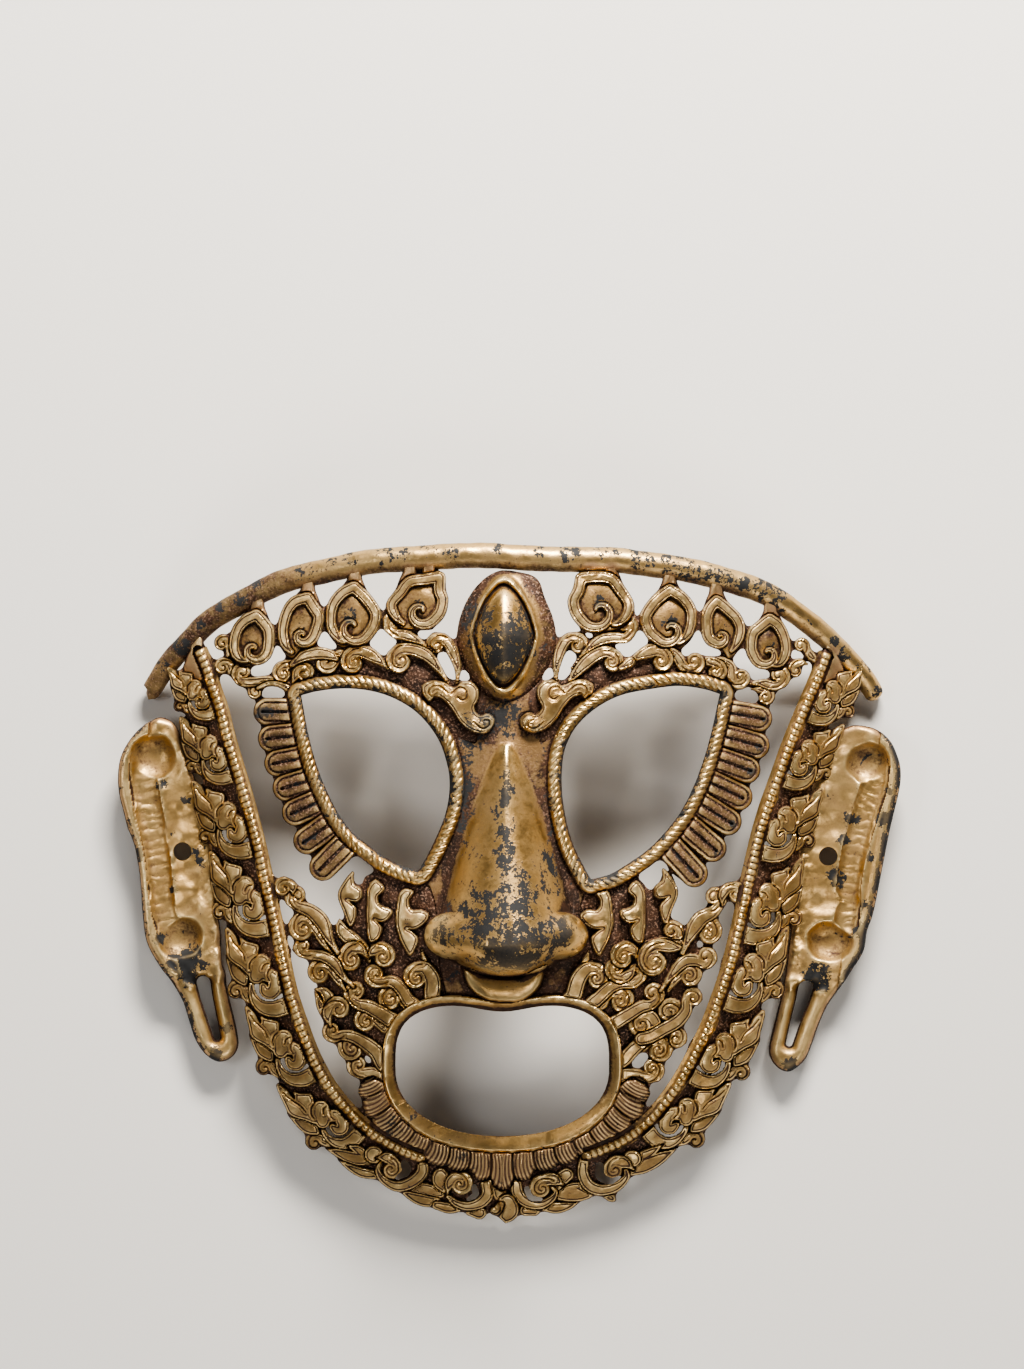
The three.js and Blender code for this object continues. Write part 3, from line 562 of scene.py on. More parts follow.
def mouth_loop(count=140):
    """The outline of the mouth: along each ray the reach is corrected until the formula gives 1."""
    turn = np.linspace(0, 2 * np.pi, count, endpoint=False)
    ray = np.stack([np.cos(turn), np.sin(turn)], axis=1)
    reach = np.full(count, 20.0)
    for _ in range(14):
        spot = ray * reach[:, None] + [MOUTH["x"], MOUTH["y"]]
        reach = reach / mouth_reach(spot[:, 0], spot[:, 1])
    return ray * reach[:, None] + [MOUTH["x"], MOUTH["y"]]


def draw_mouth(sheet):
    """The opening of the mouth with its rim: a bevel that rises straight to the crest, then a round
    edge."""
    loop = mouth_loop()
    area = sheet.window(loop, 7)
    x, y = sheet.x[area], sheet.y[area]
    outside = -loop_depth(x, y, loop)
    down = np.clip((MOUTH["y"] - y) / MOUTH["half_height"], -1, 1)
    width = np.where(down > 0, RIM["side"] + (RIM["foot"] - RIM["side"]) * down**2,
                     RIM["side"] + (RIM["top"] - RIM["side"]) * down**2)
    share = outside / width
    depth = np.minimum(outside, width - outside)
    sheet.draw(area, depth, 0, 0, ground=0)
    on_rim = (share > 0) & (share < 1)
    bevel = -RIM["inward"] + (RIM["inward"] + RIM["rise"]) * (share / RIM["crest"])
    outer = RIM["rise"] * np.sqrt(np.clip(1 - ((share - RIM["crest"]) / (1.04 - RIM["crest"])) ** 2, 0, 1))
    height = np.where(share < RIM["crest"], bevel, outer)
    sheet.put(area, on_rim, relief=height, edge=width * (1 - share) + 0.1, lines=0)
    sheet.pierce(area, -outside)


print("eye opening, mm:", np.round(np.ptp(eye_loop("left"), axis=0), 1))


# %% [markdown]
# ## Lashes
# Seven tongues fan out below each eye. Each has a raised outline, a groove, a smaller tongue inside it and
# a slot along its middle that ends in a punched dot.

# %% Lashes
LASHES = {
    "left": [(262.5, 711.7), (267, 739), (273.5, 764), (282, 789), (291.5, 814), (303.5, 843),
        (320, 870)],
    "right": [(763.2, 719.2), (760.5, 746.6), (751, 771.3), (743, 798.7), (731.7, 824), (716, 851),
        (697, 876.5)],
}
LASH_FEET = {
    "left": [(300, 712), (305, 735), (310, 757), (317, 778), (326, 799), (336, 820), (350, 840)],
    "right": [(722, 712), (717, 735), (711, 757), (702, 779), (692, 799), (680, 820), (664, 841)],
}
LASH = dict(
    half=13.9, past=4.5, rise=1.7, groove=1.45, root=9.0, groove_width=0.2, groove_depth=0.5, slot=0.7,
    slot_half=0.62, dot=0.8, soil=0.9,
)


def draw_lash(sheet, dot, foot):
    """One tongue, from under the rope past its punched dot, with its groove, slot and dot cut in."""
    dot, foot = np.array(dot, float), np.array(foot, float)
    out = (dot - foot) / np.hypot(*(dot - foot))
    line = np.array([(*(foot - LASH["root"] * out), LASH["half"] - 1.2), (*(foot + 12 * out), LASH["half"]),
                     (*(dot - LASH["past"] * out), LASH["half"])])
    line = curve(line, 8)
    centre, half = place(line), line[:, 2] * PIXEL
    area = sheet.window(centre, LASH["half"] * PIXEL + 1.5)
    x, y = sheet.x[area], sheet.y[area]
    depth = ribbon_depth(x, y, centre, half)
    sheet.draw(area, depth, 0.2, LASH["rise"], lines=0)
    on = depth > 0
    groove = LASH["groove_depth"] * np.exp(-(((depth - LASH["groove"]) / LASH["groove_width"]) ** 2))
    far, along, _ = near_line(x, y, place([foot + 6 * out, dot - 1.5 * out]))
    from_dot = np.hypot(x - place(dot)[0, 0], y - place(dot)[0, 1])
    slot = LASH["slot"] * smooth((LASH["slot_half"] - far) / 0.3)
    spot = LASH["dot"] * smooth((LASH["slot_half"] - from_dot) / 0.3)
    inner = 0.25 * smooth((depth - LASH["groove"]) / 0.5)
    sheet.relief[area] += np.where(on, inner - groove - slot - spot, 0)
    crease = np.minimum(np.abs(depth - LASH["groove"]), np.abs(far - 0.55) + 0.06)
    stain = np.maximum(0.5 * smooth(1.6 - from_dot / 1.6), 0.42 * smooth((0.8 - far) / 0.3))
    soil = LASH["soil"] * smooth((depth - 0.45) / 0.4)
    sheet.put(area, on, edge=np.minimum(depth, crease), dark=stain, ground=soil)


print("lashes:", {side: len(dots) for side, dots in LASHES.items()})


# %% [markdown]
# ## Beaded bands
# A row of punched beads runs from each temple to the chin along the inner side of the border, with a smooth
# strip of sheet that turns back towards the face.

# %% Bands
BANDS = {
    "left": [(197, 650), (205, 668), (212, 690), (219.3, 711), (226, 738), (234.4, 766), (242.6, 793),
        (250.8, 823), (259, 856), (265.9, 889), (272.7, 919), (281, 958), (289, 994), (299.6, 1026),
        (311.6, 1058), (327.7, 1088), (349, 1114.5), (373, 1136), (400, 1152), (421, 1160)],
    "right": [(829, 653), (822, 672), (814, 691), (803, 716.5), (790.6, 746.6), (779.7, 776.8),
        (768.7, 807), (760.5, 834.4), (754, 862), (748, 889), (742.7, 916.6), (736, 945), (729, 972),
        (719.7, 999), (707.6, 1031), (691.5, 1063.6), (674, 1093), (650, 1122.5), (620.5, 1144),
        (586, 1158)],
}
BEAD = dict(pitch=1.98, half=1.5, rise=1.9, gap=1.15, wall=1.4, wall_fall=1.6, foot=0.7)


def draw_band(sheet, side):
    """One beaded band: half a circle across, cut into beads by the sine of the length, and the strip
    beside it."""
    line = even(curve(place(BANDS[side]), 8), 120)
    away = 1 if side == "left" else -1
    area = sheet.window(line, 5)
    x, y = sheet.x[area], sheet.y[area]
    far, along, hand = near_line(x, y, line)
    out = far * hand * -away
    ends = np.minimum(along, run_of(line)[-1] - along)
    inner_edge = out + BEAD["half"] + BEAD["wall"]
    depth = np.minimum(inner_edge, BEAD["half"] + BEAD["foot"] - out)
    depth = np.where(ends > 0.01, depth, np.minimum(depth, BEAD["half"] - far))
    sheet.draw(area, depth, 0, 0, groove=False)
    phase = np.abs(np.sin(np.pi * along / BEAD["pitch"]))
    cross = np.sqrt(np.clip(1 - (out / BEAD["half"]) ** 2, 0, 1))
    ridge = BEAD["rise"] * cross - BEAD["gap"] * (1 - phase**0.6) * cross
    strip = BEAD["rise"] * 0.35 - BEAD["wall_fall"] * smooth(-(out + BEAD["half"] * 0.7) / BEAD["wall"])
    height = np.maximum(ridge, np.where(out < 0, strip, -0.1))
    beyond = np.abs(out) - BEAD["half"]
    edge = np.where(beyond < 0, np.minimum(-beyond, 0.05 + 0.9 * phase), beyond + 0.2)
    sheet.put(area, depth > 0, relief=height, edge=edge, lines=0)


print("bands, mm:", {side: round(run_of(place(line))[-1]) for side, line in BANDS.items()})


# %% [markdown]
# ## The scroll border
# Outside each band one motif repeats seven times down to the chin, growing a little: a C-scroll that
# springs from the band and thins out over a crescent-shaped piercing, a thick comma inside it, a ball, a
# leaf with three points and a small curl at the outer edge. The motif is drawn once, in pixels up the band
# and away from it.

# %% Border motif
MOTIF = dict(
    c_scroll=[(0, -5, 7), (0, 3, 7.6), (0.5, 14, 7.4), (5, 24, 6.2), (12.5, 29.5, 4.8), (21, 31, 3.4),
        (28.5, 29, 2.8), (32.5, 24, 2.4), (31, 19, 2)],
    comma=[(31, 7.5, 5.4), (27, 5.6, 6.2), (20.5, 6.8, 6.2), (16.2, 12, 5.6), (18.5, 17.5, 4.6),
        (24, 18.5, 3)],
    ball=[(35, 23, 7), (41, 18.5, 9.5), (45.5, 16, 9)],
    neck=[(31, 7.5, 5.6), (35, 12.5, 6.6), (40, 17, 8)],
    folds=[[(54, 19), (52.5, 23), (48.5, 27), (43, 28.5)], [(79, 41), (70, 38), (60, 32), (52, 31)],
        [(41, 5.5), (37.5, 10), (33, 12), (28.5, 11)], [(45, 8), (44.5, 13), (40, 16.5)]],
    leaf=[(38, 30), (44, 25), (52, 20), (63, 15.5), (67, 20), (70, 26), (74, 30.5), (70, 31), (67, 33.5),
        (71, 35.5), (79, 37), (87, 43), (78, 45), (67, 46), (60, 47), (54, 44), (47, 37)],
    back_leaf=[(29, 37), (33, 33), (40, 31), (47, 34), (54, 40), (61, 48), (50, 48.5), (38, 46.5)],
    outer_curl=[(8, 28, 5), (15.6, 34.5, 4.8), (25.9, 39.5, 4), (30.3, 45.7, 3.8)],
    outer_eye=(24.5, 46.5),
    piercing=[(29.5, 21.5, 2), (25, 25, 3.4), (18, 24.5, 3.6), (11, 18, 2.8), (9.5, 9, 2.2),
        (11, 2, 1.6)],
)
EDGE_OF_BAND = 5.5
MOTIF_GROW = 0.5
PIERCING_WIDER = 1.25
JUNCTIONS = {
    "left": [(219, 711.7), (236.4, 773), (256.6, 846.7), (274.6, 928), (292, 1003), (319, 1074),
        (364, 1129)],
    "right": [(804.5, 714), (778.6, 780), (756, 853), (739.5, 933), (719, 1001), (685, 1074),
        (645, 1127)],
}
SIZES = {
    "left": [0.7, 0.82, 0.95, 1.0, 1.0, 0.94, 0.9],
    "right": [0.78, 0.86, 0.95, 1.0, 0.98, 0.96, 0.92],
}


def motif_frame(side, junction, size):
    """Maps the motif's rows (up the band, away from it, half width) onto the photograph, bent along the
    band."""
    line = even(curve(np.asarray(BANDS[side], float), 8), 160)
    run = run_of(line)
    index = np.arange(len(line))
    ahead = line[np.minimum(index + 6, index[-1])] - line[np.maximum(index - 6, 0)]
    start = run[np.argmin(np.hypot(*(line - junction).T))]

    def onto(rows):
        rows = np.asarray(rows, float)
        at = start - rows[:, 0] * size
        spot, down = [np.stack([np.interp(at, run, column) for column in field.T],
                               1) for field in (line, ahead)]
        down = down / np.hypot(*down.T)[:, None]
        out = down[:, ::-1] * ([-1, 1] if side == "left" else [1, -1])
        away = rows[:, 1:2] * size + EDGE_OF_BAND
        return np.hstack([spot + down * np.minimum(at, 0)[:, None] + out * away, rows[:, 2:] * size])

    return onto


def draw_motif(sheet, side, junction, size):
    """One motif, from the lowest layer up: curl, back leaf, piercing, C-scroll, then leaf, ball and
    comma."""
    onto = motif_frame(side, np.array(junction, float), size)
    m = MOTIF
    curl(sheet, onto(m["outer_curl"]), onto([m["outer_eye"]])[0], turns=0.9, rise=1.1)
    body(sheet, [ring(onto(m["back_leaf"]), 6)], rise=1.1, crown=0.3, grow=MOTIF_GROW)
    pierce_line(sheet, onto(m["piercing"]), PIERCING_WIDER)
    leaf(sheet, onto(m["c_scroll"]), rise=1.8, wider=1.2)
    strokes = [curve(onto(m[key]), 8) for key in ("ball", "comma", "neck")]
    body(sheet, [ring(onto(m["leaf"]), 6)], strokes, rise=1.9, crown=0.4, grow=MOTIF_GROW)
    for fold in m["folds"]:
        engrave(sheet, curve(onto(fold), 6), SCROLL["groove"], SCROLL["groove_depth"])


print("motifs:", {side: len(sizes) for side, sizes in SIZES.items()})


# %% Plate under the border
BORDER_EDGES = {
    "left": [(190, 672), (178, 690), (180, 712), (190, 745), (200, 800), (210, 860), (219, 920),
        (232, 975), (246, 1020), (268, 1074), (297, 1120), (318, 1142), (345, 1165), (370, 1182),
        (398, 1194), (430, 1203)],
    "right": [(838, 672), (842, 690), (838, 712), (826, 745), (815, 800), (804, 860), (794, 910),
        (785, 954), (773, 989), (757, 1040), (740, 1073), (724, 1099), (707, 1123), (688, 1146),
        (660, 1168), (640, 1181), (612, 1192), (580, 1203)],
}


def border_plate(sheet, side):
    """The recessed ground of the border, between the band and an outer edge that the leaves reach past."""
    loop = np.vstack([curve(BANDS[side][1:], 4), curve(BORDER_EDGES[side], 4)[::-1]])
    plate(sheet, loop, -0.5, 0.4, rounded=False, ground=1.0, lines=0, groove=False, grow=-1.9)


print("plates under the border:", *BORDER_EDGES)


# %% [markdown]
# ## Chin
# Below the ends of the bands the border closes in a bud on a short stalk, with a C-scroll, a volute and
# leaves each side.

# %% Chin
CHIN = dict(
    ground=[(404, 1160), (428, 1150), (450, 1164), (476, 1178), (506, 1184), (540, 1178), (565, 1166),
        (588, 1152), (604, 1166), (592, 1190), (560, 1206), (530, 1212), (504, 1216), (470, 1210),
        (436, 1204), (410, 1188)],
    leaves=[
        [
            [(366, 1162, 6), (352, 1161, 6.5), (338, 1156, 4.5), (325, 1152, 0.8)],
            [(366, 1160, 5), (357, 1152, 4.5), (346, 1148, 0.8)],
        ],
        [[(374, 1178, 4.5), (361, 1176, 5), (348, 1170, 3.4), (337, 1163, 0.8)]],
        [[(440, 1197, 4.5), (428, 1194, 7), (414, 1191, 6), (400, 1186, 0.8)]],
        [[(436, 1206, 5), (422, 1204, 6), (409, 1199, 4), (398, 1192, 0.8)]],
        [[(436, 1209, 4.5), (449, 1212, 5.5), (464, 1210, 4)]],
        [[(470, 1215, 5), (479, 1217, 6.5)]],
        [[(445, 1192, 4.5), (441, 1183, 8.5), (440, 1177, 6.5)]],
        [[(526, 1214, 6), (534, 1214, 6)]],
        [[(545, 1210, 5), (557, 1212, 5.5), (570, 1209, 4), (582, 1203, 0.8)]],
        [
            [(560, 1198, 5.5), (573, 1197, 8), (586, 1198, 5), (600, 1195, 0.8)],
            [(566, 1192, 5), (578, 1189, 4.5), (590, 1186, 0.8)],
        ],
        [[(556, 1188, 6), (562, 1181, 7), (567, 1177, 6.5)]],
        [
            [(630, 1172, 6.5), (645, 1168, 7.5), (660, 1161, 6), (678, 1151, 0.8)],
            [(640, 1160, 5.5), (652, 1154, 4.5), (664, 1146, 0.8)],
        ],
        [[(606, 1196, 5), (612, 1202, 4), (616, 1205, 0.8)]],
    ],
    balls=[(373, 1157, 8.5), (632, 1161, 8)],
    scrolls=[
        [(421, 1160, 5), (422, 1174, 5.8), (412, 1185, 5.8), (397, 1190, 5.2), (384, 1184, 4.2),
            (377, 1174, 3), (380, 1165, 2)],
        [(486, 1184, 5.6), (488, 1196, 6), (481, 1206, 5.6), (468, 1210, 4.6), (456, 1207, 4),
            (448, 1200, 2.6)],
        [(516, 1184, 5.2), (518, 1197, 5.8), (527, 1206, 5.2), (540, 1208.5, 4.6), (551, 1203, 4),
            (556, 1195, 2.6), (551, 1189, 2)],
        [(584, 1161, 4.6), (583, 1175, 5.4), (589, 1188, 5.8), (602, 1193.5, 5.6), (617, 1190, 5),
            (627, 1180, 3.6), (626, 1171, 2.4)],
    ],
    curls=[
        ([(376, 1160, 4.5), (388, 1160, 4.6), (396, 1168, 4.4)], (390.5, 1172)),
        ([(447, 1197, 4), (449, 1187, 4.6), (456, 1179, 4.4), (464, 1179, 4.2)], (460, 1187)),
        ([(563, 1187, 5), (553, 1181.5, 5), (542, 1183, 4.8)], (542, 1191)),
        ([(634, 1172, 5), (626, 1165.5, 5), (616, 1163.5, 4.8), (610, 1168, 4.4)], (615, 1172.5)),
    ],
    stalk=[(499, 1190, 7), (501, 1200, 6.4), (504, 1209, 6)],
    bud=[(507, 1206, 8.5), (508, 1214, 10), (507, 1220, 6.5), (505.8, 1227.5, 0.8)],
    bud_curl=([(502, 1206, 3), (499, 1211, 3.4)], (494.5, 1213)),
    holes=[
        [(404, 1166, 4), (406, 1174, 4.6), (397, 1181, 2.6)],
        [(600, 1168, 4), (601, 1179, 4.8), (611, 1184, 3.6), (620, 1180, 1.6)],
        [(474, 1190, 3), (475, 1198, 3.5), (468, 1203, 2)],
        [(527, 1192, 3), (531, 1201, 3), (541, 1203, 2)],
    ],
)


def draw_chin(sheet):
    """The leaves, balls and scrolls of the chin, then the bud on its stalk, then the piercings."""
    for paths in CHIN["leaves"]:
        leaf(sheet, *paths, rise=1.3)
    for ball in CHIN["balls"]:
        leaf(sheet, [ball, (ball[0] + 1, ball[1], ball[2])], rise=1.9, crown=0.5)
    for path in CHIN["scrolls"]:
        leaf(sheet, path, rise=1.6)
    for path, eye in CHIN["curls"]:
        curl(sheet, path, eye, rise=1.7)
    leaf(sheet, CHIN["stalk"], rise=1.4)
    leaf(sheet, CHIN["bud"], rise=1.9, crown=0.5)
    curl(sheet, *CHIN["bud_curl"], turns=0.8, rise=1.4)
    for hole in CHIN["holes"]:
        pierce_line(sheet, hole)


print("parts of the chin:", *CHIN)


# %% [markdown]
# ## Cheek volutes
# Each cheek is a cluster of volutes on stems, most of them springing from the mouth's rim, with three
# flame-shaped drops under the eye. Each row is a stem (x, y, half width) and the eye that it rolls up
# around.

# %% Volutes
UNDER_RIM = 9.0
CURLS = {
    "left": [
        ([(293, 895, 3.6), (292, 886, 3.8), (284, 881.5, 3.6)], (283.5, 888)),
        ([(338, 952, 6.6), (329, 937, 6.4), (322, 921.5, 6), (311, 911, 5), (299, 906.5, 4.2),
            (290.5, 901, 3.8)], (297, 896)),
        ([(334, 954, 4), (324, 943, 4.4), (318, 930, 4.6), (310, 920, 4.6), (301, 918, 4.4),
            (295, 923, 4.2)], (303, 928.5)),
        ([(354, 986, 5.4), (343, 975, 5), (335, 963, 4.6), (324, 956, 4.2), (311, 954.5, 3.8),
            (302, 953, 3.4)], (303.5, 946.5)),
        ([(346, 990, 4.4), (339, 980, 4.6), (333, 968.5, 4.6), (324, 963.5, 4.4), (316, 965.5, 4.2)],
            (320.5, 972.5)),
        ([(331, 1026, 4.4), (327.5, 1015, 4.4), (331, 1005, 4.2), (336, 1001, 4)], (339, 1008.5)),
        ([(392, 1019, 6), (381, 1012, 5.6), (369, 1006, 5), (358, 1003, 4.2), (350, 997, 3.8)],
            (356.5, 991.5)),
        ([(388, 1027, 5), (380, 1021, 4.8), (372, 1014, 4.6), (363, 1013, 4.2)], (366.5, 1020.5)),
        ([(384, 1064, 5.8), (377, 1052, 5.6), (366, 1043, 5.2), (354, 1036.5, 4.6), (343, 1035, 4),
            (334, 1038, 3.6)], (332.5, 1030.5)),
        ([(352, 1037, 4.4), (345, 1040, 4.6), (344, 1047, 4.6)], (352, 1048.5)),
        ([(386, 1074, 5.6), (373, 1073, 5), (362, 1073.5, 4.4), (354, 1071, 4)], (358, 1065)),
        ([(369, 958, 4), (361, 948, 4.6), (352, 946.5, 4.6), (346, 951.5, 4.4)], (352, 958.5)),
        ([(368, 958, 3), (373, 951, 4), (381, 946.5, 4.4), (388, 949.5, 4.2)], (383.5, 956)),
        ([(409, 999, 5), (402, 988, 4.8), (393, 980.5, 4.4), (384, 981, 4.2), (376, 981.5, 4)],
            (376, 973)),
        ([(407, 1003, 4), (400, 993, 4.2), (391, 989, 4.4), (386, 991, 4.2)], (391, 998)),
        ([(433, 996, 6), (433, 979, 6), (426, 967, 5.2), (417, 966.5, 4.4), (412, 969, 4.2)],
            (417, 976.5)),
    ],
    "right": [
        ([(722, 906, 3.6), (722, 896, 3.8), (727, 888.5, 3.8), (735, 886.5, 3.6)], (735.5, 894)),
        ([(682, 952, 7), (690, 934, 6.6), (700, 919, 5.6), (712, 912.5, 4.6), (720, 904, 3.8)],
            (714, 897.5)),
        ([(688, 946, 4), (693, 933, 4.4), (700, 923, 4.6), (709, 921, 4.6), (714, 925, 4.4)], (708, 932)),
        ([(660, 990, 6), (672, 973, 6), (684, 961, 5), (696, 960, 4.4), (705, 964, 4), (711, 961, 3.6)],
            (705.5, 956)),
        ([(668, 990, 4.4), (676, 977, 4.6), (683, 967, 4.4), (692, 967, 4.4)], (689, 975)),
        ([(612, 1023, 5.4), (628, 1013.5, 5), (641, 1006, 4.6), (652, 1003.5, 4), (659, 997, 3.6)],
            (652, 992.5)),
        ([(650, 1036, 5), (663, 1029, 5), (677, 1021, 5), (686, 1010, 4.4), (686, 999, 3.8),
            (689, 992.5, 3.6)], (693, 998)),
        ([(662, 1028, 4), (672, 1024, 4.4), (679, 1016, 4.6), (677, 1007, 4.4)], (668.5, 1011)),
        ([(650, 1034, 4), (654.5, 1023, 4.8), (648, 1014.5, 4.8), (638, 1015, 4.6), (634, 1019, 4.4)],
            (641, 1024)),
        ([(622, 1060, 5.4), (636, 1046, 5), (649, 1036.5, 4.8), (662, 1031, 4.4), (674, 1030, 4),
            (681, 1034, 3.8)], (676, 1038.5)),
        ([(642, 1046, 4), (650, 1039.5, 4.4), (660, 1039.5, 4.6), (666.5, 1046, 4.4)], (658.5, 1050)),
        ([(620, 1075, 5.4), (634, 1075, 5), (646, 1077.5, 4.6), (656, 1076.5, 4.2)], (652, 1069)),
        ([(686, 948, 5), (671, 946, 5), (657, 944, 4.8), (647, 948, 4.6)], (654, 960)),
        ([(672, 938, 3), (679, 934, 3.6), (677, 926.5, 3.6)], (671.5, 930)),
        ([(636, 960, 3.4), (633.5, 950, 4.4), (625, 946, 4.6), (618, 949, 4.4)], (622.5, 956)),
        ([(636, 962, 3), (630, 972, 4), (620, 977.5, 4), (611.5, 974, 3.8)], (615.5, 967)),
        ([(598, 997, 5), (609, 986.5, 4.8), (621, 982, 4.4), (633, 982, 4), (641, 976, 3.8)],
            (635.5, 971.5)),
        ([(602, 1002, 4), (606, 994, 4.4), (614, 989.5, 4.6), (625, 991.5, 4.4)], (620, 999.5)),
        ([(573, 994, 6), (578, 978, 6), (586, 968, 5.2), (595, 967, 4.4), (601, 970.5, 4.2)], (596, 977)),
    ],
}
print("volutes:", {side: len(curls) for side, curls in CURLS.items()})


# %% Leaves and drops
CHEEK_LEAVES = {
    "left": [
        [[(340, 919, 1), (343, 930, 6), (354, 940, 6.5), (366, 950, 5), (370, 960, 2)]],
        [
            [(327, 1020, 3), (321, 1006, 4), (315, 989, 1)],
            [(327, 1010, 4), (329, 999, 5.5), (324, 991, 4), (316, 989, 1)],
        ],
        [[(432, 984, 5), (428, 968, 4.6), (422, 949, 0.8)]],
    ],
    "right": [
        [[(638, 951, 2), (648, 943, 3.5), (664, 940, 4), (684, 942, 4)]],
        [[(578, 985, 5), (583, 968, 5), (588, 950, 0.8)]],
    ],
}
DROPS = [
    [(353, 872), (345, 882), (340, 891), (340, 899), (345, 911), (350.5, 925), (355, 918), (356, 908),
        (351, 902), (347, 899), (352, 900), (357, 900.5), (361.5, 897), (362, 891), (359, 887.5),
        (354, 884), (353, 878)],
    [(376, 880), (369, 889), (368, 904), (368, 922), (370.5, 939.5), (378, 937.5), (382, 928), (379, 922),
        (374.5, 918), (380, 920), (386, 919), (391, 914), (391, 909), (384, 906.5), (378.5, 902),
        (378, 895), (384, 888)],
    [(405, 889), (400, 895), (398, 908), (397, 921), (400, 934), (405, 945), (410.5, 953), (416, 945),
        (417.5, 937), (413, 931), (406.5, 927), (413, 927.5), (420, 925), (427, 919), (428, 913),
        (421, 909.5), (413, 910), (409, 905), (409, 898), (413, 891)],
]
DROP_MIRRORS = [(1016, -3), (1012, 1), (1009, 0)]


def drop_outline(side, outline, mirror):
    """A drop as drawn on the left, or turned over to the right."""
    rows = np.array(outline, float)
    return rows if side == "left" else rows * [-1, 1] + mirror


def from_under_rim(path):
    """A stem that springs from the mouth starts further in, so that the rim covers its end."""
    start = np.array(path[0], float)
    inward = MIDDLE + np.array([MOUTH["x"], -MOUTH["y"]]) / PIXEL - start[:2]
    inward = inward / np.hypot(*inward) * UNDER_RIM
    return [(*(start[:2] + inward), start[2]), *path]


def draw_cheek(sheet, side):
    """One cheek: its sunk ground, leaves, volutes from the last listed to the first, and drops."""
    plate(sheet, CHEEKS[side], -0.75, 0.4, ground=0.95, lines=0, groove=False)
    for paths in CHEEK_LEAVES[side]:
        leaf(sheet, *paths, rise=1.5)
    for path, eye in reversed(CURLS[side]):
        at_rim = mouth_reach(*place([path[0]])[0]) < 1.4
        curl(sheet, from_under_rim(path) if at_rim else path, eye, root=1.0 if at_rim else SCROLL["root"])
    for outline, mirror in zip(DROPS, DROP_MIRRORS):
        plate(sheet, drop_outline(side, outline, mirror), 0.4, 1.7, crown=0.8, grow=0.4)


print("drops under each eye:", len(DROPS))


# %% [markdown]
# ## Brow: lobes and vine
# Eight heart-shaped lobes hang from the rod, each with engraved lines that run round its edge and roll up
# in a comma, and a vine with small volutes ties them to the rims of the eyes.

# %% Lobes
LOBES = {
    "left": [
        dict(
            outline=[(444, 573), (425, 574), (407, 577), (396, 590), (386, 605), (391, 620), (402, 629),
                (418, 630), (432, 629), (445, 617), (449, 600), (445, 588)],
            notch=(408, 634),
        ),
        dict(
            outline=[(355, 581), (340, 588), (329, 601), (325, 618), (328, 633), (340, 647), (352, 647),
                (368, 643), (379, 630), (382, 613), (372, 596)],
            notch=(349, 650),
        ),
        dict(
            outline=[(309, 592), (292, 597), (281, 612), (277, 632), (282, 650), (293, 659), (302, 650),
                (315, 645), (322, 633), (325, 615), (317, 602)],
            notch=(296, 660),
        ),
        dict(
            outline=[(257, 609), (241, 616), (231, 629), (228, 648), (234, 662), (246, 667), (258, 664),
                (270, 659), (275, 645), (274, 628), (266, 617)],
            notch=(251, 669),
        ),
    ],
    "right": [
        dict(
            outline=[(577, 574), (596, 571), (613, 574), (624, 586), (634, 604), (631, 619), (620, 629),
                (602, 632), (585, 631), (572, 619), (567, 602), (573, 588)],
            notch=(607, 636),
        ),
        dict(
            outline=[(669, 584), (684, 592), (695, 606), (697, 622), (692, 638), (680, 649), (670, 646),
                (654, 644), (643, 633), (639, 616), (651, 597)],
            notch=(673, 652),
        ),
        dict(
            outline=[(715, 595), (728, 603), (741, 615), (746, 630), (741, 647), (729, 659), (721, 650),
                (708, 646), (701, 635), (701, 616), (706, 604)],
            notch=(726, 662),
        ),
        dict(
            outline=[(770, 613), (782, 621), (790, 635), (792, 652), (785, 667), (775, 671), (763, 668),
                (750, 661), (745, 648), (748, 630), (758, 621)],
            notch=(769, 673),
        ),
    ],
}
print("lobes:", {side: len(lobes) for side, lobes in LOBES.items()})


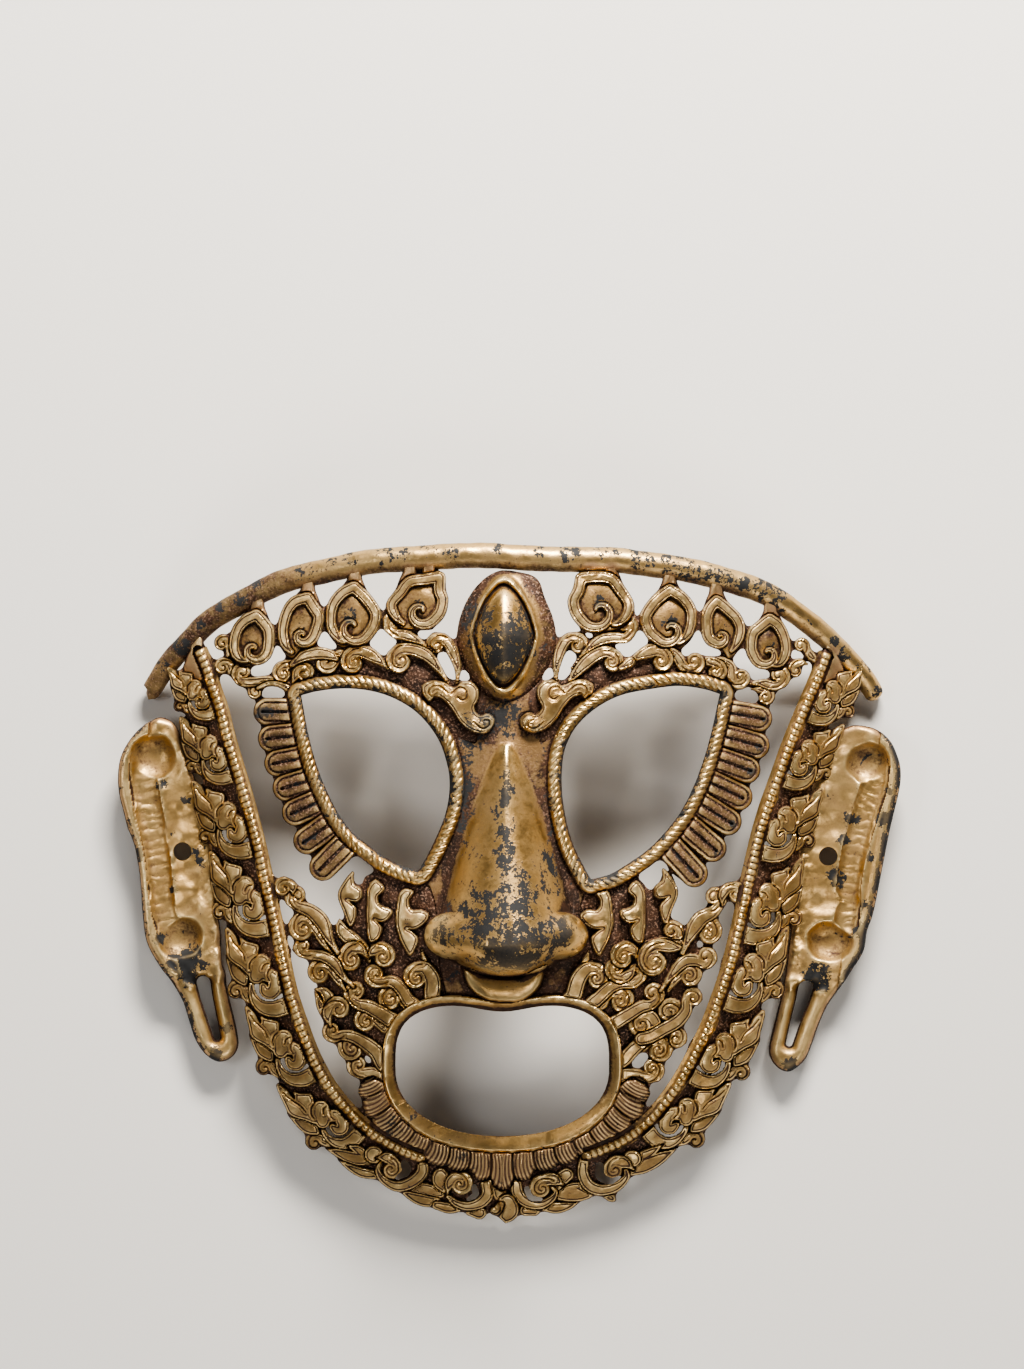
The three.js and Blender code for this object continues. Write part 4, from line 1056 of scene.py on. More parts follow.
# %% Vines
VINES = {
    "left": [
        ([(450, 686, 5), (439, 669, 5), (427, 655.5, 4.8), (412, 649.5, 4.6), (400, 650, 4.4),
            (393.5, 655, 4.2)], (401, 661)),
        ([(434, 652, 4.2), (418, 641, 4.2), (406, 635.5, 4), (397, 634, 3.8), (389.5, 628.5, 3.6)],
            (396, 622)),
        ([(457, 686, 4), (458, 668, 4), (453, 652, 4), (445, 640, 4), (437, 638, 3.8)], (437, 645)),
        ([(389, 669, 4), (380, 661, 5), (368, 653.5, 5), (356, 651, 4.6), (349, 655, 4.2)], (354, 662.5)),
        ([(352, 651, 3.8), (341, 654, 4), (336, 661, 4), (331.5, 668, 3.8)], (326.5, 662.5)),
        ([(299, 662, 3.6), (289, 664.5, 3.8), (281, 666.5, 3.8)], (283.5, 673.5)),
        ([(292, 686, 3.6), (296, 676, 3.8), (300, 668.5, 3.8), (306, 667, 3.6)], (304.5, 673.5)),
        ([(296, 689, 4), (284, 682, 4), (268, 681, 4), (252, 682.5, 3.8), (241, 681.5, 3.6),
            (235.5, 676, 3.4)], (242, 672.5)),
        ([(240, 681, 3.4), (232.5, 673, 3.6), (229, 664, 3.4), (223, 661.5, 3.2)], (222, 667)),
        ([(275, 685, 3.4), (263, 683, 3.6), (255, 685, 3.4), (251.5, 690, 3.2)], (255.5, 692)),
        ([(226, 660, 3.2), (229, 650, 3.2), (227, 641, 3.2), (222, 638, 3)], (221.5, 643.5)),
    ],
    "right": [
        ([(562, 694, 5), (575, 674, 5), (590, 659, 4.8), (604, 652, 4.4), (614, 655, 4.2)], (611.5, 662)),
        ([(572, 668, 4.2), (585, 652, 4.2), (599, 641, 4.2), (612, 638, 3.8), (625, 638, 3.8),
            (631.5, 631, 3.6)], (625, 625.5)),
        ([(556, 686, 4), (556, 668, 4), (560, 651, 4), (567, 639.5, 4), (576, 637.5, 3.8)], (577, 645)),
        ([(624, 665, 4), (638, 656, 5), (652, 650.5, 5), (661, 651.5, 4.4), (666, 655, 4)], (661, 661)),
        ([(655, 650, 3.8), (668, 650, 4), (677, 658, 4), (683, 667, 4), (691, 670, 3.8)], (693.5, 662)),
        ([(698, 660, 3.6), (710, 661.5, 3.8), (720, 665.5, 3.8)], (715.5, 672)),
        ([(704, 657, 3.6), (720, 660, 3.8), (730, 667, 4), (731.5, 677, 4), (736, 684, 3.8)],
            (740, 677.5)),
        ([(744, 684, 3.4), (762, 683.5, 3.8), (774, 686, 3.8), (783, 683, 3.6)], (779, 675.5)),
        ([(752, 689, 3.2), (762, 689, 3.4), (769.5, 692, 3.2)], (765.5, 697)),
        ([(822, 664, 3), (812, 656, 3.2), (807, 649, 3)], (801.5, 646)),
        ([(808, 664, 3), (799, 662.5, 3.2), (793, 666, 3)], (796.5, 670)),
    ],
}
VINE_LEAVES = {
    "left": [
        [[(292, 665, 2.4), (304, 656.5, 4.6), (318, 653.5, 5), (330, 655, 4.4), (337, 659, 2.4)]],
        [[(258, 688, 2), (268, 683.5, 2.2), (280, 684.5, 2.4), (293, 691, 3.6)]],
    ],
    "right": [[[(620, 668, 2.4), (630, 662, 4)]]],
}


EYE_SCROLLS = {
    "left": dict(
        outline=[(423, 694), (423, 685), (433, 680), (445, 682), (454, 687), (462, 682), (472, 682),
            (479, 689), (479, 699), (475, 708), (480, 715), (488, 713), (495, 719), (493, 728), (484, 734),
            (471, 731), (460, 722), (451, 708), (443, 700), (436, 697), (430, 702)],
        cuts=[
            [(448, 693), (440, 686), (432, 687), (429, 693), (433, 696.5), (437, 693)],
            [(452, 694), (459, 687.5), (466, 690), (467, 697), (462, 700), (458, 697)],
            [(474, 722), (482, 728), (489, 726), (489, 720.5), (485, 720)],
        ],
    ),
    "right": dict(
        outline=[(592, 694), (593, 685), (583, 679), (571, 681), (562, 685), (554, 680), (544, 681),
            (537, 688), (537, 698), (541, 707), (536, 714), (528, 712), (520, 718), (521, 727), (531, 733),
            (544, 730), (556, 720), (565, 706), (573, 698), (580, 696), (586, 701)],
        cuts=[
            [(568, 692), (576, 685), (584, 686), (587, 692), (583, 696), (579, 693)],
            [(564, 693), (557, 686.5), (550, 689), (549, 696), (554, 699), (558, 696)],
            [(543, 722), (535, 728), (528, 726), (528, 720.5), (532, 720)],
        ],
    ),
}
BROW_GROUND = {
    "left": [(296, 694), (298, 680), (318, 672), (340, 664), (366, 664), (390, 672), (420, 668),
        (446, 690), (470, 716), (476, 742), (446, 730), (410, 704), (350, 692)],
    "right": [(722, 692), (718, 678), (696, 668), (670, 662), (646, 664), (624, 672), (600, 668),
        (572, 690), (546, 716), (540, 742), (566, 728), (604, 702), (660, 690)],
}
print("vines:", {side: len(vines) for side, vines in VINES.items()})


# %% Drawing the brow
LOBE = dict(
    inset=6.2, half=6.4, eye=(1.5, 9.5), plate=0.9, strip=1.9, start=0.04, end=0.86, turns=0.8, points=80,
    along=[0, 0.12, 0.6, 1], width=[0.45, 0.85, 1.0, 0.92], roll_points=49, roll_left=0.18, roll_thin=0.4,
    stain=0.5, stain_size=3.4,
)


def draw_lobe(sheet, side, outline, notch):
    """A dished plate with a strip that follows its outline round and rolls up in its middle."""
    loop = curve(np.vstack([outline, outline[:1]]).astype(float), 8)[:-1]
    plate(sheet, outline, 0.2, LOBE["plate"], lines=0, ground=0.3)
    start = int(np.argmin(np.hypot(*(loop - notch).T)))
    edge = np.roll(loop[::-1], start - len(loop) + 1, axis=0)
    middle = edge.mean(0)
    inward = middle - edge
    inward /= np.hypot(*inward.T)[:, None]
    first, last = (round(LOBE[key] * len(edge)) for key in ("start", "end"))
    path = even((edge + LOBE["inset"] * inward)[first:last], LOBE["points"])
    half = LOBE["half"] * np.interp(np.linspace(0, 1, LOBE["points"]), LOBE["along"], LOBE["width"])
    strip = np.column_stack([path, half])
    away = 1 if side == "left" else -1
    eye = middle + np.array([LOBE["eye"][0] * away, LOBE["eye"][1]])
    roll = rolled_up(strip, eye, LOBE["turns"], LOBE["roll_points"], LOBE["roll_left"], LOBE["roll_thin"])
    body(sheet, strokes=[np.vstack([strip, roll])], rise=LOBE["strip"])
    stain = place(middle)[0]
    area = sheet.window(place(loop), 0)
    near = 1 - np.hypot(sheet.x[area] - stain[0], sheet.y[area] - stain[1]) / LOBE["stain_size"]
    sheet.dark[area] = np.maximum(sheet.dark[area], LOBE["stain"] * smooth(near * 1.4))


TAB = [(17, 12), (8, 9.5), (0, 6.5), (-12, 6)]
TIPS = {
    "left": [(429, 574), (410, 575), (355, 581), (308, 592), (257, 609), (195, 652)],
    "right": [(591, 572), (610, 573), (669, 584), (716, 595), (771, 613), (833, 656)],
}


def draw_brow(sheet, side):
    """One side of the brow: the tabs under the rod, the sunk grounds, the vine, the eye scroll and the
    lobes."""
    for tip_x, tip_y in TIPS[side]:
        tab = [(tip_x, tip_y + down, half) for down, half in TAB]
        leaf(sheet, tab, rise=1.2, lines=0, fringe=0.7, fall=0.8)
    for ground in (BROW_GROUND[side], PATCHES[side]):
        plate(sheet, ground, -0.6, 0.4, ground=0.85, lines=0, groove=False)
    for path, eye in reversed(VINES[side]):
        curl(sheet, path, eye)
    for paths in VINE_LEAVES[side]:
        leaf(sheet, *paths, rise=1.6, wider=1.3)
    plate(sheet, EYE_SCROLLS[side]["outline"], 0.4, 1.9, crown=0.4)
    for cut in EYE_SCROLLS[side]["cuts"]:
        engrave(sheet, curve(cut, 6), SCROLL["groove"], SCROLL["groove_depth"])
    for lobe in LOBES[side]:
        draw_lobe(sheet, side, lobe["outline"], lobe["notch"])


print("tips that reach the rod:", {side: len(tips) for side, tips in TIPS.items()})


# %% [markdown]
# ## Third eye, lip and beard
# The third eye is a dome standing on end in a thin ridge, with a wide flange around it. The lower lip is a
# plain roll under the nose. The beard is one row of rolls, combed across with a fine chisel, that hangs
# from the rim of the mouth.

# %% Third eye
THIRD_EYE = dict(
    x=-1.6, y=77.4, half_width=14.4, half_height=20.2, ball_width=9.2, ball_height=15.4, ball_rise=6.8,
    flange=0.9, flange_rise=2.6, crest=1.7, trough=0.9, soil=0.95, stain=0.5, side_stain=0.52,
)
LIP = dict(
    low=[(462, 965), (468, 984), (483, 997), (505, 1001), (525, 998), (540, 985), (547, 962)],
    high=[(535, 967), (521, 973), (505, 975.5), (488, 973), (473, 967)],
)
BEARD = dict(
    root=[(386, 1086), (391, 1096), (403, 1113), (418, 1128), (438, 1140.5), (461, 1147), (484, 1150),
        (505, 1150.5), (528, 1148.5), (551, 1143.5), (573, 1134.5), (593, 1121), (608, 1105), (616, 1094),
        (621, 1085)],
    at=[0, 0.05, 0.12, 0.22, 0.3, 0.38, 0.405, 0.42, 0.462, 0.472, 0.497, 0.524, 0.534, 0.58, 0.595, 0.7,
        0.8, 0.88, 0.95, 1],
    width=[29, 33, 33, 29, 27, 27, 28, 34, 35, 40, 44, 41, 35, 34, 28, 27, 28, 33, 35, 31], middle=0.497,
    tuft=6.6, end_tuft=4.8, roll=2.0, rise=2.9, low=0.0, comb=1.06, comb_depth=0.3, scallop=0.12,
    sway=0.9, cap=5.0, dark=0.2,
)


def almond(x, y, half_width, half_height, point):
    """1 on an almond standing on end around the third eye, less inside."""
    dx = np.abs(x - THIRD_EYE["x"]) / half_width
    dy = np.abs(y - THIRD_EYE["y"]) / half_height
    return (dx**1.75 + dy**point) ** (1 / 1.65)


def draw_third_eye(sheet):
    """A pointed dome in a thin almond ridge, with a wide flange that slopes away around it.

    The dome is a power of 1 less the almond's formula, the ridge and the trough beside it are bell
    curves of
    the distance from the dome's edge, and a nick breaks the flange's outline at the upper right.
    """
    e = THIRD_EYE
    corner = np.array([[e["x"] - 20, e["y"] - 24], [e["x"] + 20, e["y"] + 24]])
    area = sheet.window(corner, 1)
    x, y = sheet.x[area], sheet.y[area]
    bump = 2.4 * np.exp(-(((x - 7.6) / 4.5) ** 2) - (((y - 94) / 4) ** 2))
    outer = almond(x - 0.5 * (x > 0), y, e["half_width"] + 1.2 * (x > e["x"]), e["half_height"], 1.75)
    depth = (1 - outer) * 13.5 + bump * 0.8
    sheet.draw(area, depth, 0.1, 0.0, lines=0, fall=1.0)
    inner = almond(x, y, e["ball_width"], e["ball_height"], 1.3)
    gap = (inner - 1) * e["ball_width"]
    flange = e["flange"] + e["flange_rise"] * smooth((1 - outer) / 0.42) ** 0.8
    crest = e["crest"] * np.exp(-(((gap - 0.9) / 0.55) ** 2))
    trough = e["trough"] * np.exp(-(((gap - 0.05) / 0.45) ** 2))
    across = np.abs(x - e["x"]) / e["ball_width"]
    dome = e["ball_rise"] * np.clip(1 - inner**1.7, 0, 1) ** 0.62 * (1 - 0.28 * across)
    height = (flange + crest - trough + dome) * smooth(depth / 1.1)
    crease = np.minimum(depth, np.minimum(np.abs(gap) + 0.05, AWAY))
    soil = e["soil"] * smooth((inner - 1.12 - 0.12 * (x > e["x"])) / 0.2)
    stain = np.where(inner < 1, e["stain"] - 0.35 * smooth((np.abs(y - e["y"] - 12) - 3) / -4), 0.12)
    stain = np.maximum(stain, e["side_stain"] * np.exp(-(((x + 12) / 4) ** 2) - (((y - 80) / 10) ** 2)))
    sheet.put(area, depth > 0, relief=height, edge=crease, ground=soil, dark=stain)


def draw_lip(sheet):
    """The lower lip, a smooth crescent."""
    loop = np.vstack([curve(LIP["low"], 6), curve(LIP["high"], 6)])
    plate(sheet, loop, 0.9, 1.7, rounded=False, crown=1.2, lines=0, fall=1.0)


def draw_beard(sheet):
    """A fringe of combed tufts below the mouth: rounded rolls side by side, each cut with fine lines
    across it."""
    b = BEARD
    root = even(curve(place(b["root"]), 8), 140)
    length = run_of(root)[-1]
    area = sheet.window(root, max(b["width"]) * PIXEL + 2)
    x, y = sheet.x[area], sheet.y[area]
    far, along, hand = near_line(x, y, root)
    out = -far * hand
    for end, beyond in ((0, along < 0.01), (-1, along > length - 0.01)):
        ahead = root[3] - root[0] if end == 0 else root[-1] - root[-4]
        ahead = ahead / np.hypot(*ahead)
        dx, dy = x - root[end, 0], y - root[end, 1]
        along = np.where(beyond, dx * ahead[0] + dy * ahead[1] - end * length, along)
        out = np.where(beyond, dx * ahead[1] - dy * ahead[0], out)
    share = along / length
    from_middle = along - b["middle"] * length
    pitch = b["tuft"] - (b["tuft"] - b["end_tuft"]) * np.clip(np.abs(from_middle) / (length / 2), 0, 1) / 2
    tuft = np.abs(np.cos(np.pi * from_middle / pitch))
    width = np.interp(share, b["at"], b["width"]) * PIXEL
    width = width * (1 - b["scallop"] * (1 - tuft**0.5))
    cap = b["cap"] * np.sqrt(np.clip(1 - (2 * out / width - 1) ** 2, 0, 1))
    ends = np.minimum(along, length - along) + cap
    depth = np.minimum(np.minimum(out + 2, width - out), ends)
    sheet.draw(area, depth, b["low"], b["rise"], lines=0, fringe=1.0, fall=1.8)
    on = depth > 0
    lean = from_middle + b["sway"] * np.sin(np.pi * np.clip(out / width, 0, 1)) * np.sign(from_middle)
    comb = 0.5 + 0.5 * np.cos(2 * np.pi * lean / b["comb"])
    roll = b["roll"] * (1 - tuft**0.5)
    sheet.relief[area] -= np.where(on, roll + b["comb_depth"] * (1 - comb), 0)
    crease = np.minimum(np.maximum(depth, 0.1), 0.05 + 1.7 * tuft)
    sheet.put(area, on, edge=crease, comb=lean, dark=b["dark"])


print("third eye, mm:", 2 * THIRD_EYE["half_width"], "x", 2 * THIRD_EYE["half_height"])


# %% Hammer marks, stains and the whole face
GRID = ((-112, -108), (112, 101))
HAMMER = dict(rise=1.3, size=5.5, seed=7)
WEB = dict(reach=1.15, share=0.5, low=-0.6)
STAINS = [(-1.0, 30, 1.6, 10, 0.62), (-1.0, 12, 3.2, 12, 0.58), (-2.0, -10, 13, 8, 0.6),
    (-1, -19, 13, 6, 0.7), (-18, -15, 5, 5, 0.5), (17, -15, 5, 6, 0.58), (-2, 52, 6, 6, 0.65),
    (-12, 44, 3, 9, 0.6), (9, 46, 3, 6, 0.5), (3, -4, 8, 9, 0.55), (-9, 2, 4, 12, 0.42),
    (12, 6, 3, 12, 0.4), (-14, 20, 2, 14, 0.5), (14, 22, 2, 12, 0.5)]


def bare_nose(sheet):
    """Takes the ground of the cheeks off the nose and its wings, and leaves a crease around them."""
    high = nose(sheet.x, sheet.y)
    on = (high > 0.3) & (sheet.inside > 0)
    sheet.relief = np.where(on, -0.1, sheet.relief)
    sheet.edge = np.where(on, 0.3 + high, sheet.edge)
    for field in (sheet.ground, sheet.fringe, sheet.lines):
        field[on] = 0


def stain(sheet):
    """Where the tarnish gathers: on the ridge and the tip of the nose and under the third eye."""
    bare = sheet.ground < 0.5
    for x, y, wide, high, strength in STAINS:
        near = np.exp(-(((sheet.x - x) / wide) ** 2) - (((sheet.y - y) / high) ** 2))
        sheet.dark = np.maximum(sheet.dark, strength * near**0.5 * bare)


def face_sheet(pitch):
    """The whole face as one field of heights, drawn from the lowest layer up.

    Narrow gaps are webbed before the holes are cut, and the top row of the grid is left open, so that the
    sheet closes under the rod.
    """
    sheet = Sheet(*GRID, pitch)
    plate(sheet, FACE, -0.1, 0.0, groove=False, lines=0)
    sheet.fringe = np.where(sheet.inside > 0, 0.3, 0)
    sheet.ground = np.where(sheet.inside > 0, 0.46, 0)
    for side in ("left", "right"):
        border_plate(sheet, side)
    plate(sheet, CHIN["ground"], -0.6, 0.4, ground=1.0, lines=0, groove=False)
    for side in ("left", "right"):
        draw_cheek(sheet, side)
        draw_brow(sheet, side)
        for dot, foot in zip(LASHES[side], LASH_FEET[side]):
            draw_lash(sheet, dot, foot)
    bare_nose(sheet)
    draw_third_eye(sheet)
    for side in ("left", "right"):
        for junction, size in zip(JUNCTIONS[side], SIZES[side]):
            draw_motif(sheet, side, junction, size)
    draw_chin(sheet)
    draw_beard(sheet)
    draw_mouth(sheet)
    draw_lip(sheet)
    for side in ("left", "right"):
        draw_rope(sheet, side)
        draw_band(sheet, side)
    sheet.web(**WEB)
    sheet.inside[:, -1] = OPEN
    sheet.spill()
    gold = smooth(sheet.lines) * (sheet.ground < 0.5)
    sheet.relief += HAMMER["rise"] * (lumps(sheet.x, sheet.y, HAMMER["size"], HAMMER["seed"]) - 0.5) * gold
    stain(sheet)
    return sheet


print("stains on the face:", len(STAINS))


# %% [markdown]
# ## From the field to a sheet of metal
# The openwork could be cut with hundreds of boolean holes, which is slow and leaves ragged edges. Here the
# field says how far inside the metal each grid point is, so the outline is simply where that number passes
# zero: every grid triangle is kept, cut or dropped by the signs at its corners. The same triangles, lowered
# by the thickness of the sheet, make the back, and a wall joins the two along every cut.

# %% Walls and cuts
WALL = dict(sheet=1.5, least=0.75, soft=0.9, floor=0.0, margin=0.4)
LEAST_CUT = 0.05


def back_of(sheet, front):
    """Height of the back: the front, softened as by the hammer, less the thickness of the sheet."""
    metal = sheet.inside > -WALL["margin"]
    soft = blurred(front, metal, max(round(WALL["soft"] / sheet.pitch), 1))
    behind = np.minimum(soft - WALL["sheet"], front - WALL["least"])
    return np.maximum(behind, WALL["floor"])


def cut_at_zero(inside):
    """The grid triangles inside the outline: their points, triangles and the two ends of each cut.

    Each grid square is two triangles. Where the sign changes along a side, a new point is put where the
    field
    would be zero if it ran straight. Points are given as (from, to, share), all in grid numbers.
    """
    index = np.arange(inside.size).reshape(inside.shape)
    a, b, c, d = index[:-1, :-1], index[1:, :-1], index[1:, 1:], index[:-1, 1:]
    corners = np.concatenate([np.stack(t, -1).reshape(-1, 3) for t in ((a, b, c), (a, c, d))])
    field = inside.ravel()
    keep = field[corners] > 0
    count = keep.sum(1)

    def rolled(rows, first):
        turn = (np.arange(3) + first[:, None]) % 3
        return np.take_along_axis(rows, turn, axis=1).T

    def side(p, q):
        return np.minimum(p, q) * inside.size + np.maximum(p, q)

    whole = corners[count == 3] * (inside.size + 1)
    p, q, r = rolled(corners[count == 1], keep[count == 1].argmax(1))
    tips = np.stack([p * (inside.size + 1), side(p, q), side(p, r)], 1)
    n, s, t = rolled(corners[count == 2], keep[count == 2].argmin(1))
    near = np.stack([s * (inside.size + 1), t * (inside.size + 1), side(t, n)], 1)
    far = np.stack([s * (inside.size + 1), side(t, n), side(n, s)], 1)
    cuts = np.concatenate([np.stack([side(p, q), side(p, r)], 1), np.stack([side(t, n), side(n, s)], 1)])
    keys, faces = np.unique(np.concatenate([whole, tips, near, far]), return_inverse=True)
    low, high = keys // inside.size, keys % inside.size
    gap = np.where(low == high, 1.0, field[low] - field[high])
    share = np.where(low == high, 0.0, np.clip(field[low] / gap, LEAST_CUT, 1 - LEAST_CUT))
    return (low, high, share), faces.reshape(-1, 3), np.searchsorted(keys, cuts)


def between(field, points):
    """The field at the points of a cut."""
    low, high, share = points
    flat = field.ravel()
    return flat[low] * (1 - share) + flat[high] * share


def walled(points_xy, top, bottom, faces, cuts):
    """A closed body: the faces at their top height, the same faces turned over below, and a wall at each
    cut."""
    count = len(points_xy)
    spots = np.concatenate([np.column_stack([points_xy, top]), np.column_stack([points_xy, bottom])])
    u, v = cuts.T
    wall = np.concatenate([np.stack([v, u, u + count], 1), np.stack([v, u + count, v + count], 1)])
    return spots, np.concatenate([faces, faces[:, ::-1] + count, wall])


def mesh_of(name, spots, faces):
    """A mesh from arrays of points, in millimetres, and triangles."""
    mesh = bpy.data.meshes.new(name)
    mesh.vertices.add(len(spots))
    mesh.vertices.foreach_set("co", (np.asarray(spots, np.float32) * MM).ravel())
    mesh.loops.add(faces.size)
    mesh.loops.foreach_set("vertex_index", faces.astype(np.int32).ravel())
    mesh.polygons.add(len(faces))
    mesh.polygons.foreach_set("loop_start", np.arange(0, faces.size, 3, dtype=np.int32))
    mesh.update(calc_edges=True)
    mesh.validate()
    return mesh


print("wall, mm:", WALL["sheet"])


# %% [markdown]
# ## Fewer triangles, the same relief
# The grid gives about a million triangles, most of them on smooth metal that doesn't need them. Blender's
# Decimate modifier merges those first. It weighs all heights alike, so it is given a copy with its relief
# doubled and its wall stretched: creases survive, and front and back never merge. Then each point that is
# left goes to the true height at its place, and takes the shares that the finish reads.

# %% Thinning
STRETCH = dict(relief=1.0, lift=6.0)
HOLLOWS = dict(hollow=1.2, deep=4.0)
METAL_MARGIN = 0.3


def sampled(sheet, field, x, y):
    """The field at any places: the weighted mean of the four grid points around each."""
    u = np.clip((x - sheet.low[0]) / sheet.pitch, 0, field.shape[0] - 1.001)
    v = np.clip((y - sheet.low[1]) / sheet.pitch, 0, field.shape[1] - 1.001)
    i, j = u.astype(int), v.astype(int)
    s, t = u - i, v - j
    low = field[i, j] * (1 - s) + field[i + 1, j] * s
    high = field[i, j + 1] * (1 - s) + field[i + 1, j + 1] * s
    return low * (1 - t) + high * t


def thinned(name, spots, faces, most):
    """The body with at most so many triangles, by Blender's Decimate."""
    rough = bpy.data.objects.new(name, mesh_of(name, spots, faces))
    bpy.context.scene.collection.objects.link(rough)
    fewer = rough.modifiers.new("fewer", "DECIMATE")
    fewer.ratio = min(most / len(faces), 1.0)
    fewer.use_collapse_triangulate = True
    depsgraph = bpy.context.evaluated_depsgraph_get()
    mesh = bpy.data.meshes.new_from_object(rough.evaluated_get(depsgraph))
    bpy.data.objects.remove(rough)
    return mesh


def carry(mesh, shares):
    """Writes named numbers on the points of a mesh, for the finish to read."""
    for key, values in shares.items():
        layer = mesh.attributes.new(key, "FLOAT", "POINT")
        layer.data.foreach_set("value", np.asarray(values, np.float32))


def shares_of(sheet, front):
    """The fields that the finish reads, and how far each spot lies below the mean of its surroundings."""
    shares = {name: getattr(sheet, name) for name in SHARES}
    metal = sheet.inside > -METAL_MARGIN
    for name, reach in HOLLOWS.items():
        shares[name] = blurred(front, metal, max(round(reach / sheet.pitch), 1)) - front
    return shares


def forged(name, sheet, front, back, most):
    """A finished piece from a field of heights: cut out, thinned and put back to its true heights."""
    points, faces, cuts = cut_at_zero(sheet.inside)
    xy = np.column_stack([between(sheet.x, points), between(sheet.y, points)])
    high = front + STRETCH["relief"] * sheet.relief + STRETCH["lift"]
    spots, triangles = walled(xy, between(high, points), between(back, points), faces, cuts)
    mesh = thinned(name, spots, triangles, most)
    co = np.zeros(len(mesh.vertices) * 3, np.float32)
    mesh.vertices.foreach_get("co", co)
    x, y, z = co.reshape(-1, 3).T.astype(float) / MM
    over, under = sampled(sheet, high, x, y), sampled(sheet, back, x, y)
    behind = np.abs(z - under) < np.abs(z - over)
    z = np.where(behind, under, sampled(sheet, front, x, y))
    mesh.vertices.foreach_set("co", (np.column_stack([x, y, z]) * MM).astype(np.float32).ravel())
    carry(mesh, {key: sampled(sheet, field, x, y) for key, field in shares_of(sheet, front).items()})
    carry(mesh, {"behind": behind.astype(float)})
    print(f"{name}: {len(triangles)} triangles, thinned to {len(mesh.polygons)}, {behind.mean():.2f} behind")
    return finished(name, mesh)


def finished(name, mesh, crease=48):
    """An object at the origin with smooth shading that breaks at sharp creases."""
    mesh.shade_smooth()
    mesh.set_sharp_from_angle(angle=np.radians(crease))
    mesh.update()
    piece = bpy.data.objects.new(name, mesh)
    bpy.context.scene.collection.objects.link(piece)
    return piece


print("hollows are measured over, mm:", *HOLLOWS.values())


# %% [markdown]
# ## The openwork face
# The field is composed once and forged into a single closed piece.

# %% The face piece
PITCH = 0.31
FACE_TRIANGLES = 194000
LOWEST_FRONT = 1.0
face = face_sheet(PITCH)
front = np.maximum(shell(face.x, face.y) + nose(face.x, face.y) + face.relief, LOWEST_FRONT)
face_piece = forged("openwork_face_relief", face, front, back_of(face, front), FACE_TRIANGLES)


# %% [markdown]
# ## The ears
# Each ear is a separate dished plate. From its outer edge inwards it has a rounded rim, a trough with
# chased cross ridges, a step and a level strip with the tie hole. A round pit ends the trough above and
# below, and the lobe under it is two round bars around a long slit. The ears are fields of heights too, so
# they are forged the same way, only their heights are measured from the floor.

